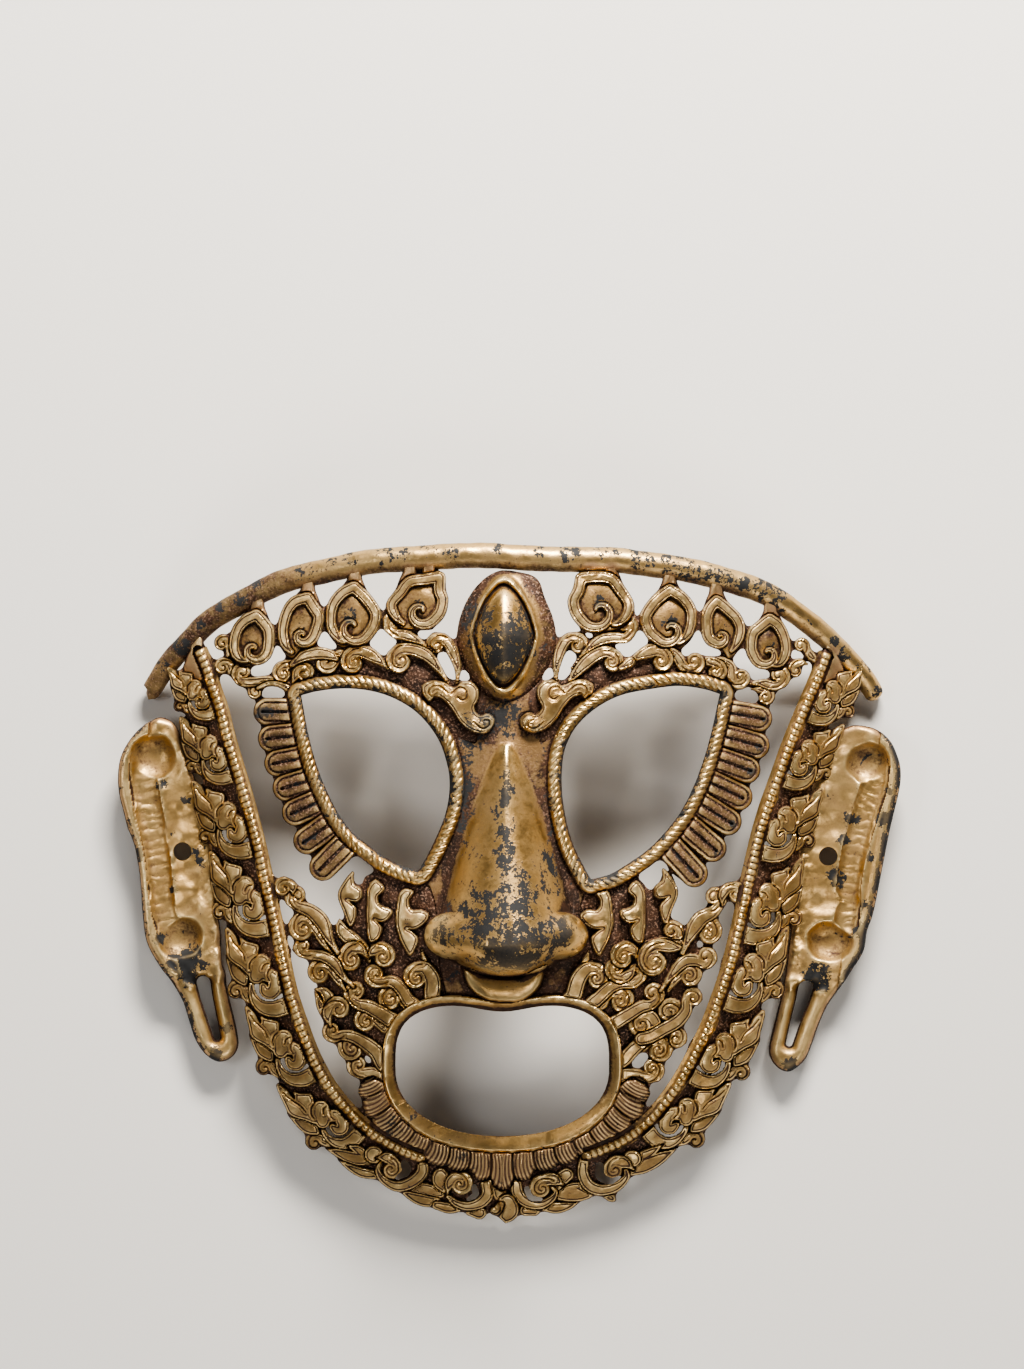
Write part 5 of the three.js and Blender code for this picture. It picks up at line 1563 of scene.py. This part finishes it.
# %% Outlines of the ears
EARS = {
    "left": dict(
        outline=[(158.5, 717.5), (146.4, 722.4), (134.2, 732), (123.3, 746.6), (117.3, 761.2),
            (115.5, 779.3), (117.3, 797.5), (122, 815.7), (125, 828.3), (131.6, 844.9), (136.5, 869.8),
            (139, 894.6), (140.7, 919.5), (144.8, 944.4), (156.4, 966), (168, 982.5), (179.7, 1002.4),
            (186.3, 1022.3), (192.9, 1042.2), (202.9, 1057.1), (216, 1064.6), (229.4, 1060.5),
            (236, 1048.9), (234.4, 1032.3), (229.4, 1010.7), (224.4, 989.2), (223.5, 975.9), (220, 962.6),
            (219, 936), (216, 912.9), (215, 886.3), (213, 861.5), (209, 836.6), (200, 803.6), (193, 779.3),
            (184, 755), (178, 735), (171, 723)],
        trough=[(143, 762, 16), (141.5, 780, 14.5), (145, 805, 14), (150.5, 830, 13.8),
            (155.5, 860, 12.8), (158.5, 890, 12.6), (162, 912, 13), (167, 930, 13)],
        pits=[(152, 758, 23.5, 23), (179, 939, 23, 21.5)], hole=(180.5, 852.5, 9.3),
        slit=[(201, 985, 7), (204, 1000, 6.2), (208, 1015, 5.2), (212, 1030, 4.2), (214.5, 1040, 3.4)],
        lip=[(182, 985), (190, 989), (199, 985), (207, 978)],
        seam=[(180, 745), (192, 785), (198, 815), (203, 845), (205, 880), (208, 915), (214, 945),
            (220, 975)],
        dark=[((196, 850), 9), ((199, 862), 6), ((186, 968), 16), ((172, 962), 9), ((156, 940), 6),
            ((127, 850), 6), ((134, 905), 6), ((170, 836), 5), ((171, 880), 5), ((184, 800), 5),
            ((226, 1030), 6), ((160, 783), 6), ((172, 890), 5), ((213, 1057), 9)],
        neck=972.0, tarnished_edge=0.42,
    ),
    "right": dict(
        outline=[(863, 725.8), (879.3, 730), (892.3, 741), (899.3, 755), (903, 770), (901.7, 790.5),
            (892, 831.6), (883.9, 872.7), (875.6, 913.9), (869.3, 932), (865.6, 952.7), (853.9, 971.8),
            (842, 990.8), (830.4, 1007), (821.6, 1026), (814.3, 1046.6), (807, 1062.7), (792.3, 1074.4),
            (779, 1070), (771, 1055.4), (774.7, 1033.4), (782, 1004), (787.5, 974.7), (790, 951.2),
            (792, 938), (798, 886.7), (800, 850), (806, 818), (813, 787.6), (822, 760.5), (838, 736),
            (851, 727)],
        trough=[(878, 770, 14), (875, 790, 14), (868, 812, 14), (861, 835, 13.5), (855, 860, 13),
            (851, 885, 12.5), (850, 908, 12.5), (848, 925, 13)],
        pits=[(869, 763, 22.5, 22.5), (831, 943, 24, 20.5)], hole=(830.1, 857.3, 9.4),
        slit=[(808, 990, 7.5), (804, 1005, 6.4), (799, 1020, 5.2), (794.5, 1035, 4.2),
            (791.5, 1046, 3.4)],
        lip=[(802, 984), (808, 991), (816, 995), (826, 993)],
        seam=[(842, 742), (826, 780), (816, 815), (808, 850), (806, 885), (800, 920), (796, 945),
            (791, 972)],
        dark=[((853, 820), 8), ((846, 840), 6), ((838, 878), 9), ((893, 790), 6), ((885, 820), 6),
            ((872, 860), 4), ((866, 905), 5), ((864, 935), 6), ((818, 975), 12), ((826, 985), 6),
            ((791, 1066), 8), ((824, 923), 5)],
        neck=980.0, tarnished_edge=0.62,
    ),
}
print("stains on the ears:", {side: len(ear["dark"]) for side, ear in EARS.items()})


# %% Parts of an ear
EAR = dict(
    plateau=9.8, trough=8.1, rim=11.2, rim_fall=0.5, rim_lip=0.6, rim_round=2.0, edge_round=1.9,
    bowl_power=3.2, rough_size=4.6, dent=2.8, dent_size=5.6, flute=2.9, flute_rise=0.3, wander=3.6,
    pit_floor=6.2, pit_power=3.0, soft=0.7, bar_top=8.6, bar_middle=4.5, bar_half=2.9, neck_fade=14.0,
    lump=0.7, seam=3.0, lip=0.7, lip_half=0.8, soil=0.5, stain=0.72, stain_spread=1.7,
)
EAR_SEEDS = {"left": dict(rough=11, grain=31), "right": dict(rough=23, grain=47)}
EAR_TRIANGLES = 60000


def ribbon_share(x, y, line):
    """How far across a ribbon each spot lies (1 at its side), the length along it and the hand (+1
    left)."""
    fine = curve(line, 6)
    centre = place(fine)
    far, along, hand = near_line(x, y, centre)
    half = np.interp(along, run_of(centre), fine[:, 2] * PIXEL)
    return far / half, along, hand


def ear_plate(x, y, side, depth, rough):
    """Height of the plate, the share of the way across the trough, and whether a spot lies on the rim's
    side.

    The plateau is dented by noise, the trough is a power of the share, and its flutes are the sine of the
    length along it.
    """
    wide, small = [value_noise(x, y, EAR["dent_size"] / k, 60 + k) - 0.5 for k in (1, 2)]
    dents = EAR["dent"] * (0.75 * wide + 0.25 * small)
    share, along, hand = ribbon_share(x, y, EARS[side]["trough"])
    rim_side = hand * (1 if side == "right" else -1) >= 0
    rim = EAR["rim"] - EAR["rim_fall"] * smooth((depth - 2.2) / 1.5)
    top = np.where(rim_side & (share > 1), rim, EAR["plateau"] + dents)
    beside = np.where(rim_side, EAR["rim"] - EAR["rim_lip"], EAR["plateau"])
    bowl = EAR["trough"] + (beside - EAR["trough"]) * np.clip(share, 0, 1) ** EAR["bowl_power"]
    wander = EAR["wander"] * lumps(x, y, 5.0, 5) + 0.8 * share**2
    flute = np.abs(np.sin(np.pi * along / EAR["flute"] + wander)) ** 0.7
    flute = EAR["flute_rise"] * flute * smooth((1 - share) / 0.25) * np.maximum(2.6 * rough - 0.4, 0)
    top = np.where(share < 1, np.minimum(bowl + flute + 0.25 * dents, top), top)
    return top, share, rim_side


def ear_pits(x, y, side, top, edge, rough):
    """Sinks the round pits at the ends of the trough: each is a power of the way out from its middle."""
    for px, py, rx, ry in EARS[side]["pits"]:
        centre = place([(px, py)])[0]
        far = np.hypot((x - centre[0]) / (rx * PIXEL),
                       (y - centre[1]) / (ry * PIXEL)) + 0.16 * (rough - 0.5)
        rise = EAR["plateau"] + 0.6 - EAR["pit_floor"]
        pit = EAR["pit_floor"] + rise * np.clip(far, 0, 1.3) ** EAR["pit_power"]
        top = np.where(far < 1.3, -merged(-top, -pit, EAR["soft"]), top)
        edge = np.where(far < 1, np.maximum(edge, 1.2 * (1 - far)), edge)
    return top, edge


def ear_tarnish(x, y, side, depth, share, rim_side, rough, below):
    """How dark each spot is: the listed stains, the outer edge and a line beside the trough."""
    near = []
    for spot, size in EARS[side]["dark"]:
        sx, sy = place([spot])[0]
        near.append(np.hypot(x - sx, y - sy) / (size * PIXEL * EAR["stain_spread"]))
    spots = EAR["stain"] * np.maximum.reduce([smooth(1.2 - n + 0.9 * (rough - 0.5)) for n in near])
    outer_edge = EARS[side]["tarnished_edge"] * smooth((2.8 - depth) / 1.3) * rim_side
    beside_trough = np.exp(-(((share - 1.1) / 0.1) ** 2)) * smooth((rough - 0.35) / 0.2)
    return np.maximum.reduce([spots, outer_edge, EAR["soil"] * beside_trough * (1 - below)])


print("ear rim over the floor, mm:", EAR["rim"])


# %% One ear as a field of heights
def ear_sheet(side, pitch):
    """One ear with its front and back. Below the neck the plate gives way to the lobe's two round bars."""
    shape, seeds = EARS[side], EAR_SEEDS[side]
    loop = place(ring(shape["outline"], 5))
    sheet = Sheet(loop.min(0) - 2, loop.max(0) + 2, pitch)
    x, y = sheet.x, sheet.y
    depth = loop_depth(x, y, loop)
    rough = lumps(x, y, EAR["rough_size"], seeds["rough"])
    top, share, rim_side = ear_plate(x, y, side, depth, rough)
    edge = np.minimum(depth, np.abs(share - 1) * 4.2 + 0.12)
    top, edge = ear_pits(x, y, side, top, edge, rough)
    seam = near_line(x, y, place(curve(shape["seam"], 6)))[0]
    grain = 0.3 * lumps(x, y, 1.5, seeds["grain"]) + 0.7 * lumps(x, y, 3.6, 53)
    top = top + EAR["lump"] * 2 * (grain - 0.35) * np.exp(-((seam / EAR["seam"]) ** 2))

    slit_line = curve(shape["slit"], 6)
    slit = ribbon_depth(x, y, place(slit_line), slit_line[:, 2] * PIXEL)
    below = smooth((shape["neck"] - MIDDLE[1] + y / PIXEL) / -EAR["neck_fade"])
    bar = np.clip(np.minimum(depth, -slit) / EAR["bar_half"], 0, 1)
    arch = np.sqrt(1 - (1 - bar) ** 2)
    bars = EAR["bar_middle"] + (EAR["bar_top"] - EAR["bar_middle"]) * arch
    top = top * (1 - below) + bars * below
    from_edge = 1 - np.clip(depth / EAR["edge_round"], 0, 1)
    fall = EAR["rim_round"] * (1 - np.sqrt(np.clip(1 - from_edge**2, 0, 1)))
    top = top - fall * (1 - below)
    lip = near_line(x, y, place(curve(shape["lip"], 6)))[0]
    top = top + EAR["lip"] * np.exp(-((lip / EAR["lip_half"]) ** 2))

    hole_x, hole_y, hole_half = shape["hole"]
    centre = place([(hole_x, hole_y)])[0]
    sheet.holes = np.maximum(slit, hole_half * PIXEL - np.hypot(x - centre[0], y - centre[1]))
    sheet.inside = np.minimum(depth, -sheet.holes)
    sheet.relief = top - EAR["plateau"]
    sheet.edge = np.minimum(edge, np.maximum(-slit, 0) + 0.6)
    sheet.fringe = 0.6 * smooth((2.2 - depth) / 1.6)
    sheet.dark = ear_tarnish(x, y, side, depth, share, rim_side, rough, below)
    round_back = np.maximum(EAR["bar_middle"] - (EAR["bar_middle"] - 0.1) * arch, 0)
    back = back_of(sheet, top) * (1 - below) + np.minimum(round_back, top - WALL["least"]) * below
    return sheet, top, np.maximum(back, 0)


print("ears to forge:", *EARS)


# %% Both ears
ear_pieces = {}
for side in ("left", "right"):
    ear_pieces[side] = forged(f"{side}_ear_plate", *ear_sheet(side, PITCH), EAR_TRIANGLES)


# %% [markdown]
# ## The brow rod
# A round rod, thicker in the middle, hammered smooth but not true. It is a circle carried along the arch,
# and its ends close in a dome.

# %% Rod
ROD = dict(
    line=[(143, 693), (148, 691), (165, 665), (189, 640), (211, 619), (245, 600), (285, 581), (326, 571),
        (374, 562), (429, 558), (484, 556), (520, 558), (554, 560), (610, 560), (637, 563.5), (692, 571),
        (733, 582), (767, 594), (797, 613), (826, 636), (851, 660), (869, 680), (880, 700)],
    middle=3.95, end=2.7, rings=420, sides=40, lowest=0.3, sunk=1.1, even_over=17, dome=2.4, dent=0.045,
)
# Slow waves along the rod: strength, turns for each millimetre, lobes around the section, start.
ROD_WAVES = [(1.0, 0.21, 1, 0.0), (0.7, 0.47, 2, 1.3), (0.5, 1.1, 3, 0.4)]


def rod_surface():
    """Points of the rod: P(u, a) = C(u) + r(u) (cos a N(u) + sin a Z).

    C is the arch at the height of the shell, N its level normal, and r runs from the end radius to the
    middle
    one as the square root of a sine, rounded off at both ends and dented a little by slow waves.
    """
    flat = even(curve(place(ROD["line"]), 8), ROD["rings"])
    run = run_of(flat)
    u = run / run[-1]
    radius = ROD["end"] + (ROD["middle"] - ROD["end"]) * np.sin(np.pi * u) ** 0.4
    level = np.maximum(shell(flat[:, 0], flat[:, 1]) - ROD["sunk"], radius + ROD["lowest"])
    over = ROD["even_over"]
    level = np.convolve(np.pad(level, over // 2, mode="edge"), np.ones(over) / over, mode="valid")
    from_end = np.minimum(run, run[-1] - run)
    dome = np.sqrt(np.clip(1 - (1 - np.clip(from_end / ROD["dome"], 0, 1)) ** 2, 0, 1))
    along = np.gradient(flat, axis=0)
    along /= np.hypot(*along.T)[:, None]
    normal = np.stack([along[:, 1], -along[:, 0]], 1)
    angle = np.linspace(0, 2 * np.pi, ROD["sides"], endpoint=False)
    wave = sum(high * np.sin(run[:, None] * rate + lobes * angle + start) for high, rate, lobes,
               start in ROD_WAVES)
    highest = sum(high for high, *_ in ROD_WAVES)
    reach = (radius * np.maximum(dome, 0.02))[:, None] * (1 + ROD["dent"] * wave / highest)
    out = reach[..., None] * np.cos(angle)[None, :, None] * normal[:, None, :]
    return np.concatenate([flat[:, None, :] + out, (level[:, None] + reach * np.sin(angle))[..., None]], 2)


def tube(grid):
    """Faces of a closed tube from its rings, with a fan of triangles to a point at each end."""
    rings, sides = grid.shape[:2]
    index = np.arange(rings * sides).reshape(rings, sides)
    a, b = index[:-1], np.roll(index[:-1], -1, axis=1)
    c, d = np.roll(index[1:], -1, axis=1), index[1:]
    body = np.concatenate([np.stack([a, b, c], -1).reshape(-1, 3), np.stack([a, c, d], -1).reshape(-1, 3)])
    spots = np.concatenate([grid.reshape(-1, 3), grid[0].mean(0)[None], grid[-1].mean(0)[None]])
    first, last = len(spots) - 2, len(spots) - 1
    start = np.stack([index[0], np.full(sides, first), np.roll(index[0], -1)], 1)
    end = np.stack([index[-1], np.roll(index[-1], -1), np.full(sides, last)], 1)
    return spots, np.concatenate([body, start, end])[:, ::-1]


ROD_PATCHES = [(305, 571, 6), (321, 566, 4), (258, 585, 4), (385, 556, 6), (332, 562, 3), (430, 551, 6),
    (452, 554, 5), (470, 551, 3), (540, 552, 4), (600, 553, 5), (640, 557, 8), (662, 563, 7),
    (684, 567, 7), (722, 577, 6), (742, 583, 4), (762, 590, 7), (787, 601, 7), (812, 620, 3),
    (836, 640, 3), (865, 671, 6), (880, 697, 7), (222, 606, 4), (200, 626, 3), (160, 668, 5),
    (350, 560, 5), (405, 555, 4), (500, 549, 4), (570, 552, 6), (620, 554, 5), (705, 571, 6),
    (775, 596, 6), (800, 610, 5), (848, 655, 5), (180, 646, 5), (240, 598, 5)]
# left and left_from paint shade, a darker brown towards the rod's left end; below browns its chin side
ROD_STAINS_AND_SHADE = dict(below=0.6, left=0.7, left_from=-45.0, over=35.0, patch=0.4, tips=0.9, tips_reach=4.5)
print("rod:", ROD["rings"], "rings of", ROD["sides"], "points")


# %% The rod's mesh and what its points carry
def nearest(spots, places):
    """Distance across the mask from each spot to each place, in millimetres."""
    return np.hypot(*(spots[:, None, :2] - places[None]).transpose(2, 0, 1))


rod_grid = rod_surface()
rod_spots, rod_faces = tube(rod_grid)
rod_mesh = mesh_of("brow_rod", rod_spots, rod_faces)
from_tips = nearest(rod_spots, place(TIPS["left"] + TIPS["right"])).min(1)
patches = np.array(ROD_PATCHES, float)
to_patches = (nearest(rod_spots, place(patches)) / (patches[:, 2] * PIXEL)).min(1)
upper = rod_spots[:, 2] > 4
around = rod_grid - rod_grid.mean(1, keepdims=True)
below = np.append(np.clip(-around[:, :, 1] / np.linalg.norm(around, axis=2), 0, 1).ravel(), [0, 0])
plain = np.zeros(len(rod_spots))
# darker brown towards the left end of the rod, which is painted shade, and browner on its side towards the
# chin
rod_brown_and_shade = ROD_STAINS_AND_SHADE["left"] * smooth((ROD_STAINS_AND_SHADE["left_from"] - rod_spots[:, 0]) / ROD_STAINS_AND_SHADE["over"])
rod_brown_and_shade = np.maximum(rod_brown_and_shade, ROD_STAINS_AND_SHADE["below"] * smooth(below / 0.9))
carry(rod_mesh, {
    "edge": plain + AWAY, "ground": rod_brown_and_shade, "lines": plain, "hollow": plain, "deep": plain, "behind": plain,
    "dark": ROD_STAINS_AND_SHADE["patch"] * smooth(2.4 - to_patches) * upper,
    "fringe": ROD_STAINS_AND_SHADE["tips"] * smooth((ROD_STAINS_AND_SHADE["tips_reach"] - from_tips) / 3),
})
rod_piece = finished("brow_rod", rod_mesh, crease=60)
print("rod:", len(rod_faces), "triangles")


# %% [markdown]
# ## Writing the finish as maths
# The finish is worked out by shader nodes, and node trees are hard to read as code. So a small class wraps
# a socket: adding or multiplying two of them adds the Math node that does it. Another class holds one
# material and makes any node from its type, its settings and what goes into its sockets.

# %% A number over the surface
class Amount:
    """A number that varies over the surface: a shader socket with the usual operators."""

    def __init__(self, finish, socket):
        self.finish = finish
        self.socket = socket

    def math(self, operation, *values):
        node = self.finish.node("ShaderNodeMath", {"operation": operation}, dict(enumerate(values)))
        return Amount(self.finish, node.outputs[0])

    def __add__(self, other):
        return self.math("ADD", self, other)

    def __sub__(self, other):
        return self.math("SUBTRACT", self, other)

    def __mul__(self, other):
        return self.math("MULTIPLY", self, other)

    def __rsub__(self, other):
        return self.math("SUBTRACT", other, self)

    __radd__ = __add__
    __rmul__ = __mul__

    def step(self, low, high):
        """0 below low, 1 above high, a soft step between."""
        settings = {"interpolation_type": "SMOOTHSTEP"}
        values = {"Value": self, "From Min": low, "From Max": high}
        return Amount(self.finish, self.finish.node("ShaderNodeMapRange", settings,
                                                    values).outputs["Result"])

    def most(self, other):
        return self.math("MAXIMUM", self, other)

    def held(self):
        """Kept between 0 and 1."""
        return self.math("MINIMUM", self.math("MAXIMUM", self, 0.0), 1.0)


print("what a number can do:", *[name for name in vars(Amount) if name[0] != "_"])


# %% One material
class Finish:
    """One material and the nodes in it."""

    def __init__(self, name):
        self.material = bpy.data.materials.new(name)
        self.material.use_nodes = True
        self.tree = self.material.node_tree
        self.tree.nodes.clear()

    def node(self, kind, settings=None, sockets=None):
        made = self.tree.nodes.new(kind)
        for key, value in (settings or {}).items():
            setattr(made, key, value)
        by_name = {socket.name: socket for socket in reversed(made.inputs)}
        by_name.update({socket.identifier: socket for socket in made.inputs})
        for key, value in (sockets or {}).items():
            socket = made.inputs[key] if isinstance(key, int) else by_name[key]
            value = value.socket if isinstance(value, Amount) else value
            if isinstance(value, bpy.types.NodeSocket):
                self.tree.links.new(value, socket)
            else:
                socket.default_value = value
        return made

    def attribute(self, name):
        return Amount(self, self.node("ShaderNodeAttribute", {"attribute_name": name}).outputs["Fac"])

    def noise(self, size, detail=3.0, rough=0.5, shift=(0, 0, 0), squeeze=(1, 1, 1)):
        """Noise from 0 to 1 whose patches are about as large as the size, in millimetres."""
        place_on = self.node("ShaderNodeTexCoord").outputs["Object"]
        moved = self.node("ShaderNodeMapping", None,
                          {"Vector": place_on, "Location": shift, "Scale": squeeze})
        sockets = {"Vector": moved.outputs[0], "Scale": 1 / (size * MM), "Detail": detail,
                   "Roughness": rough}
        return Amount(self, self.node("ShaderNodeTexNoise", None, sockets).outputs["Fac"])

    def blend(self, share, first, second):
        """One colour where the share is 0, the other where it is 1."""
        sockets = {"Factor_Float": share, "A_Color": first, "B_Color": second}
        return self.node("ShaderNodeMix", {"data_type": "RGBA"}, sockets).outputs[2]

    def shade(self, sockets):
        shader = self.node("ShaderNodeBsdfPrincipled", None, sockets)
        self.node("ShaderNodeOutputMaterial", None, {"Surface": shader.outputs[0]})


print("nodes that a finish makes:", *[name for name in vars(Finish) if name[0] != "_"])


# %% [markdown]
# ## Worn fire gilding
# The gold is thin. It has worn to a paler, rougher skin on the ridges and kept its warm colour between
# them, and a painted highlight lightens the chased wire edges and the comb ridges of the beard. Copper
# shows pink where it is gone. Dirt has settled brown in the hollows, and painted shade darkens the
# hollows, creases, engraved lines and comb grooves further. Tarnish lies in grey-black islands with crisp
# edges. Each of these is a share from 0 to 1 that comes from the form, such as the height over the
# surroundings, broken up by noise, and the colour and the roughness are mixed by the shares.

# %% Gilding
GOLD = dict(
    warm=(0.52, 0.32, 0.12, 1), pale=(0.82, 0.62, 0.31, 1), copper=(0.44, 0.27, 0.19, 1),
    # the two dark browns are the colour of dirt and of painted shade alike
    dark_residue_and_shade=(0.02, 0.009, 0.005, 1), brown_residue_and_shade=(0.075, 0.034, 0.018, 1), tarnish=(0.02, 0.02, 0.021, 1),
)


def line_at(edge, distance, width):
    """1 on a line that runs at the distance inside an edge, 0 half a width away from it."""
    away = edge.math("ABSOLUTE", edge - distance)
    return 1 - away.step(width * 0.3, width)


def gilt(name, tarnish=0.0, copper=0.0, matt=0.0, worn=0.0):
    """The gilding of one piece, from the shares that its points carry."""
    f = Finish(name)
    # noise in three sizes, and what the points carry
    broad, middle, fine = f.noise(16, 4), f.noise(4.2, 5, 0.6, (3, 1, 2)), f.noise(0.9, 4, 0.6, (1, 5, 2))
    hollow, deep, edge = f.attribute("hollow"), f.attribute("deep"), f.attribute("edge")
    ground, fringe, dark, behind = [f.attribute(k) for k in ("ground", "fringe", "dark", "behind")]
    lines = f.attribute("lines").held() * (1 - behind)
    # chased lines: the crease at an edge, the combed hair, an engraved line and the wire beside it
    # crease: dirt and painted shade in the creases along every drawn edge, between beads, strands and tufts
    crease = 1 - edge.step(0.05, 0.42)
    hair = fringe.step(0.93, 0.99)
    turn = f.attribute("comb") * (2 * np.pi / BEARD["comb"])
    # groove: painted shade in the grooves of the comb
    groove = hair * (0.5 - turn.math("COSINE", turn) * 0.5)
    # lined: painted shade in the engraved line; wire: a painted highlight on the crest beside it
    lined = lines * line_at(edge, 0.9, 0.32)
    wire = lines * line_at(edge, 0.5, 0.3)
    # hollows and ridges of the form; the ridges are paler worn gold, plus the painted highlights
    # pocket and sunk: dirt and painted shade in small and in large hollows
    pocket = (hollow + (fine - 0.5) * 0.5).step(0.1, 0.75)
    ridge = (0.0 - hollow + (fine - 0.5) * 0.3).step(0.05,
                                                     0.7).most(wire * 0.9) * (1 - lined) * (1 - groove)
    # the combed ridges of the beard get a painted highlight
    ridge = ridge.most(hair * (1 - groove * 1.6).held() * (1 - crease))
    sunk = (deep + (middle - 0.5) * 1.2).step(0.5, 2.2)
    # tarnish in islands and specks, dirt and painted shade in what lies low, copper where the gold is gone
    cloud = (middle - 0.5) * 1.5 + (broad - 0.5) * 0.9 + (fine - 0.5) * 1.0 + f.noise(0.45, 2) * 0.3 - 0.15
    cloud = cloud + (f.noise(2.2, 3, 0.5, (4, 4, 1), (1.6, 0.45, 1)) - 0.5) * 0.5
    islands = (cloud + dark + tarnish).step(0.48, 0.54)
    specks = (fine * 0.6 + middle * 0.4 + tarnish * 0.4).step(0.63, 0.67)
    film = (broad * 0.4 + middle * 0.4 + fine * 0.2).step(0.4,
                                                          0.62) * 0.5 + lines * edge.step(1.0, 1.4) * 0.12
    # dirt on the matted ground and in films; painted shade in hollows, creases, lines and comb grooves; the
    # back darker
    residue_and_shade = ground * 0.9 + film + pocket * 0.9 + crease * 0.9 + lined * 0.85 + sunk * 0.35 + behind * 0.45
    residue_and_shade = (residue_and_shade + groove * 0.7).held()
    bare = fringe * 0.75 + (middle * 0.5 + broad * 0.5 + copper).step(0.6, 0.72) * 0.45
    bare = bare.held() * (1 - ridge * 0.7)
    # the colours, one over the other, then roughness, metal and a fine relief
    colour = f.blend((ridge * 0.75 + broad.step(0.35, 0.7) * 0.25 + worn).held(), GOLD["warm"],
                     GOLD["pale"])
    colour = f.blend(bare, colour, GOLD["copper"])
    # soil: the brown to black colour of the dirt and of the painted shade
    soil = f.blend(middle.step(0.35, 0.65), GOLD["dark_residue_and_shade"], GOLD["brown_residue_and_shade"])
    soil = f.blend(ground * f.noise(0.7, 3, 0.6, (2, 2, 5)).step(0.52, 0.66) * 0.7, soil, GOLD["copper"])
    colour = f.blend((residue_and_shade * (1 - ridge * 0.85)).held(), colour, soil)
    black = (islands.most(specks * 0.8) * (1 - ridge * 0.35)).held()
    colour = f.blend(black, colour, GOLD["tarnish"])
    rough = 0.27 + matt + middle * 0.14 + residue_and_shade * 0.28 + bare * 0.12 + black * 0.2 - ridge * 0.06
    metal = (1.0 - residue_and_shade * 0.55 - black * 0.45).held()
    relief = fine * 0.35 - groove * 1.2 + f.noise(2.2, 3) * 0.6 + black * 0.12
    relief = relief + ground * f.noise(0.6, 3) * 1.6 - lined * 0.5
    bump = f.node("ShaderNodeBump", None, {"Strength": 0.35, "Distance": 0.0004, "Height": relief})
    f.shade({"Base Color": colour, "Roughness": rough, "Metallic": metal, "Normal": bump.outputs["Normal"]})
    return f.material


face_piece.data.materials.append(gilt("gilt_openwork", tarnish=0.04))
for side in ("left", "right"):
    ear_pieces[side].data.materials.append(gilt(f"gilt_{side}_ear", copper=-0.05, matt=0.06, worn=0.12))
rod_piece.data.materials.append(gilt("gilt_rod", tarnish=0.08, worn=0.25))
print("materials:", *[material.name for material in bpy.data.materials])


# %% [markdown]
# ## Riding, floor, light and camera
# The pieces replace their CAD solids and ride on the one body. A pale floor carries the mask. A warm soft
# light beyond the brow draws the relief, a weaker one beyond the chin keeps the shadows open, and a faint
# one at the left lifts that side. The camera looks straight down on the mask as it lies, the way that the
# photograph faces it.

# %% Riding and floor
for piece, node, slot in (
    (face_piece, "openwork_face", "gilt_face"),
    (rod_piece, "brow_rim", "gilt_rod"),
    (ear_pieces["left"], "left_ear", "gilt_ears"),
    (ear_pieces["right"], "right_ear", "gilt_ears"),
):
    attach(piece, "root")
    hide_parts(node)

FLOOR = dict(half=2.2, colour=(0.78, 0.76, 0.73, 1.0), rough=0.85)
floor_spots = np.array([(-1, -1, 0), (1, -1, 0), (1, 1, 0), (-1, 1, 0)]) * FLOOR["half"]
floor_mesh = bpy.data.meshes.new("floor")
floor_mesh.from_pydata(floor_spots.tolist(), [], [(0, 1, 2, 3)])
floor = bpy.data.objects.new("floor", floor_mesh)
bpy.context.scene.collection.objects.link(floor)
paper = Finish("pale_paper")
paper.shade({"Base Color": FLOOR["colour"], "Roughness": FLOOR["rough"], "Metallic": 0.0})
floor.data.materials.append(paper.material)
print("floor, m:", 2 * FLOOR["half"])


# %% Light
# Name, spot, size, power and colour of each light, in metres and watts.
LIGHTS = [("key", (0.2, 1.0, 0.6), (0.5, 0.22), 38, (1.0, 0.95, 0.87)), ("fill", (-0.8, 0.1, 1.0),
    (0.4, 0.4), 3, (1.0, 1.0, 1.0)), ("low", (0.3, -0.9, 0.9), (0.9, 0.5), 6, (1.0, 0.96, 0.9))]
LIT_SPOT = Vector((0, 0, 0.02))
ROOM_LIGHT = 0.12


def soft_light(name, spot, size, power, colour):
    """A rectangular light at the spot, turned to the middle of the mask."""
    data = bpy.data.lights.new(name, "AREA")
    data.shape = "RECTANGLE"
    data.size, data.size_y = size
    data.energy = power
    data.color = colour
    lamp = bpy.data.objects.new(name, data)
    lamp.location = spot
    lamp.rotation_mode = "QUATERNION"
    lamp.rotation_quaternion = (LIT_SPOT - Vector(spot)).to_track_quat("-Z", "Y")
    bpy.context.scene.collection.objects.link(lamp)


for light in LIGHTS:
    soft_light(*light)
world = bpy.data.worlds.new("room")
world.use_nodes = True
world.node_tree.nodes["Background"].inputs["Color"].default_value = (1, 1, 1, 1)
world.node_tree.nodes["Background"].inputs["Strength"].default_value = ROOM_LIGHT
bpy.context.scene.world = world
bpy.context.scene.view_settings.look = "AgX - Medium High Contrast"
print("lights:", *[light[0] for light in LIGHTS])


# %% Camera
CAMERA = dict(across=317.4, level=25.0, distance=2500.0, x=0.93, y=62.3, sensor=36.0, shape=1369 / 1024)
camera_data = bpy.data.cameras.new("front")
camera_data.sensor_fit = "AUTO"
camera_data.sensor_width = CAMERA["sensor"]
camera_data.lens = CAMERA["sensor"] * CAMERA["distance"] / (CAMERA["across"] * CAMERA["shape"])
camera_data.clip_start, camera_data.clip_end = 0.1, 10
camera = bpy.data.objects.new("front", camera_data)
camera.location = np.array([CAMERA["x"], CAMERA["y"], CAMERA["level"] + CAMERA["distance"]]) * MM
bpy.context.scene.collection.objects.link(camera)
bpy.context.scene.camera = camera
print("lens, mm:", round(camera_data.lens, 1))
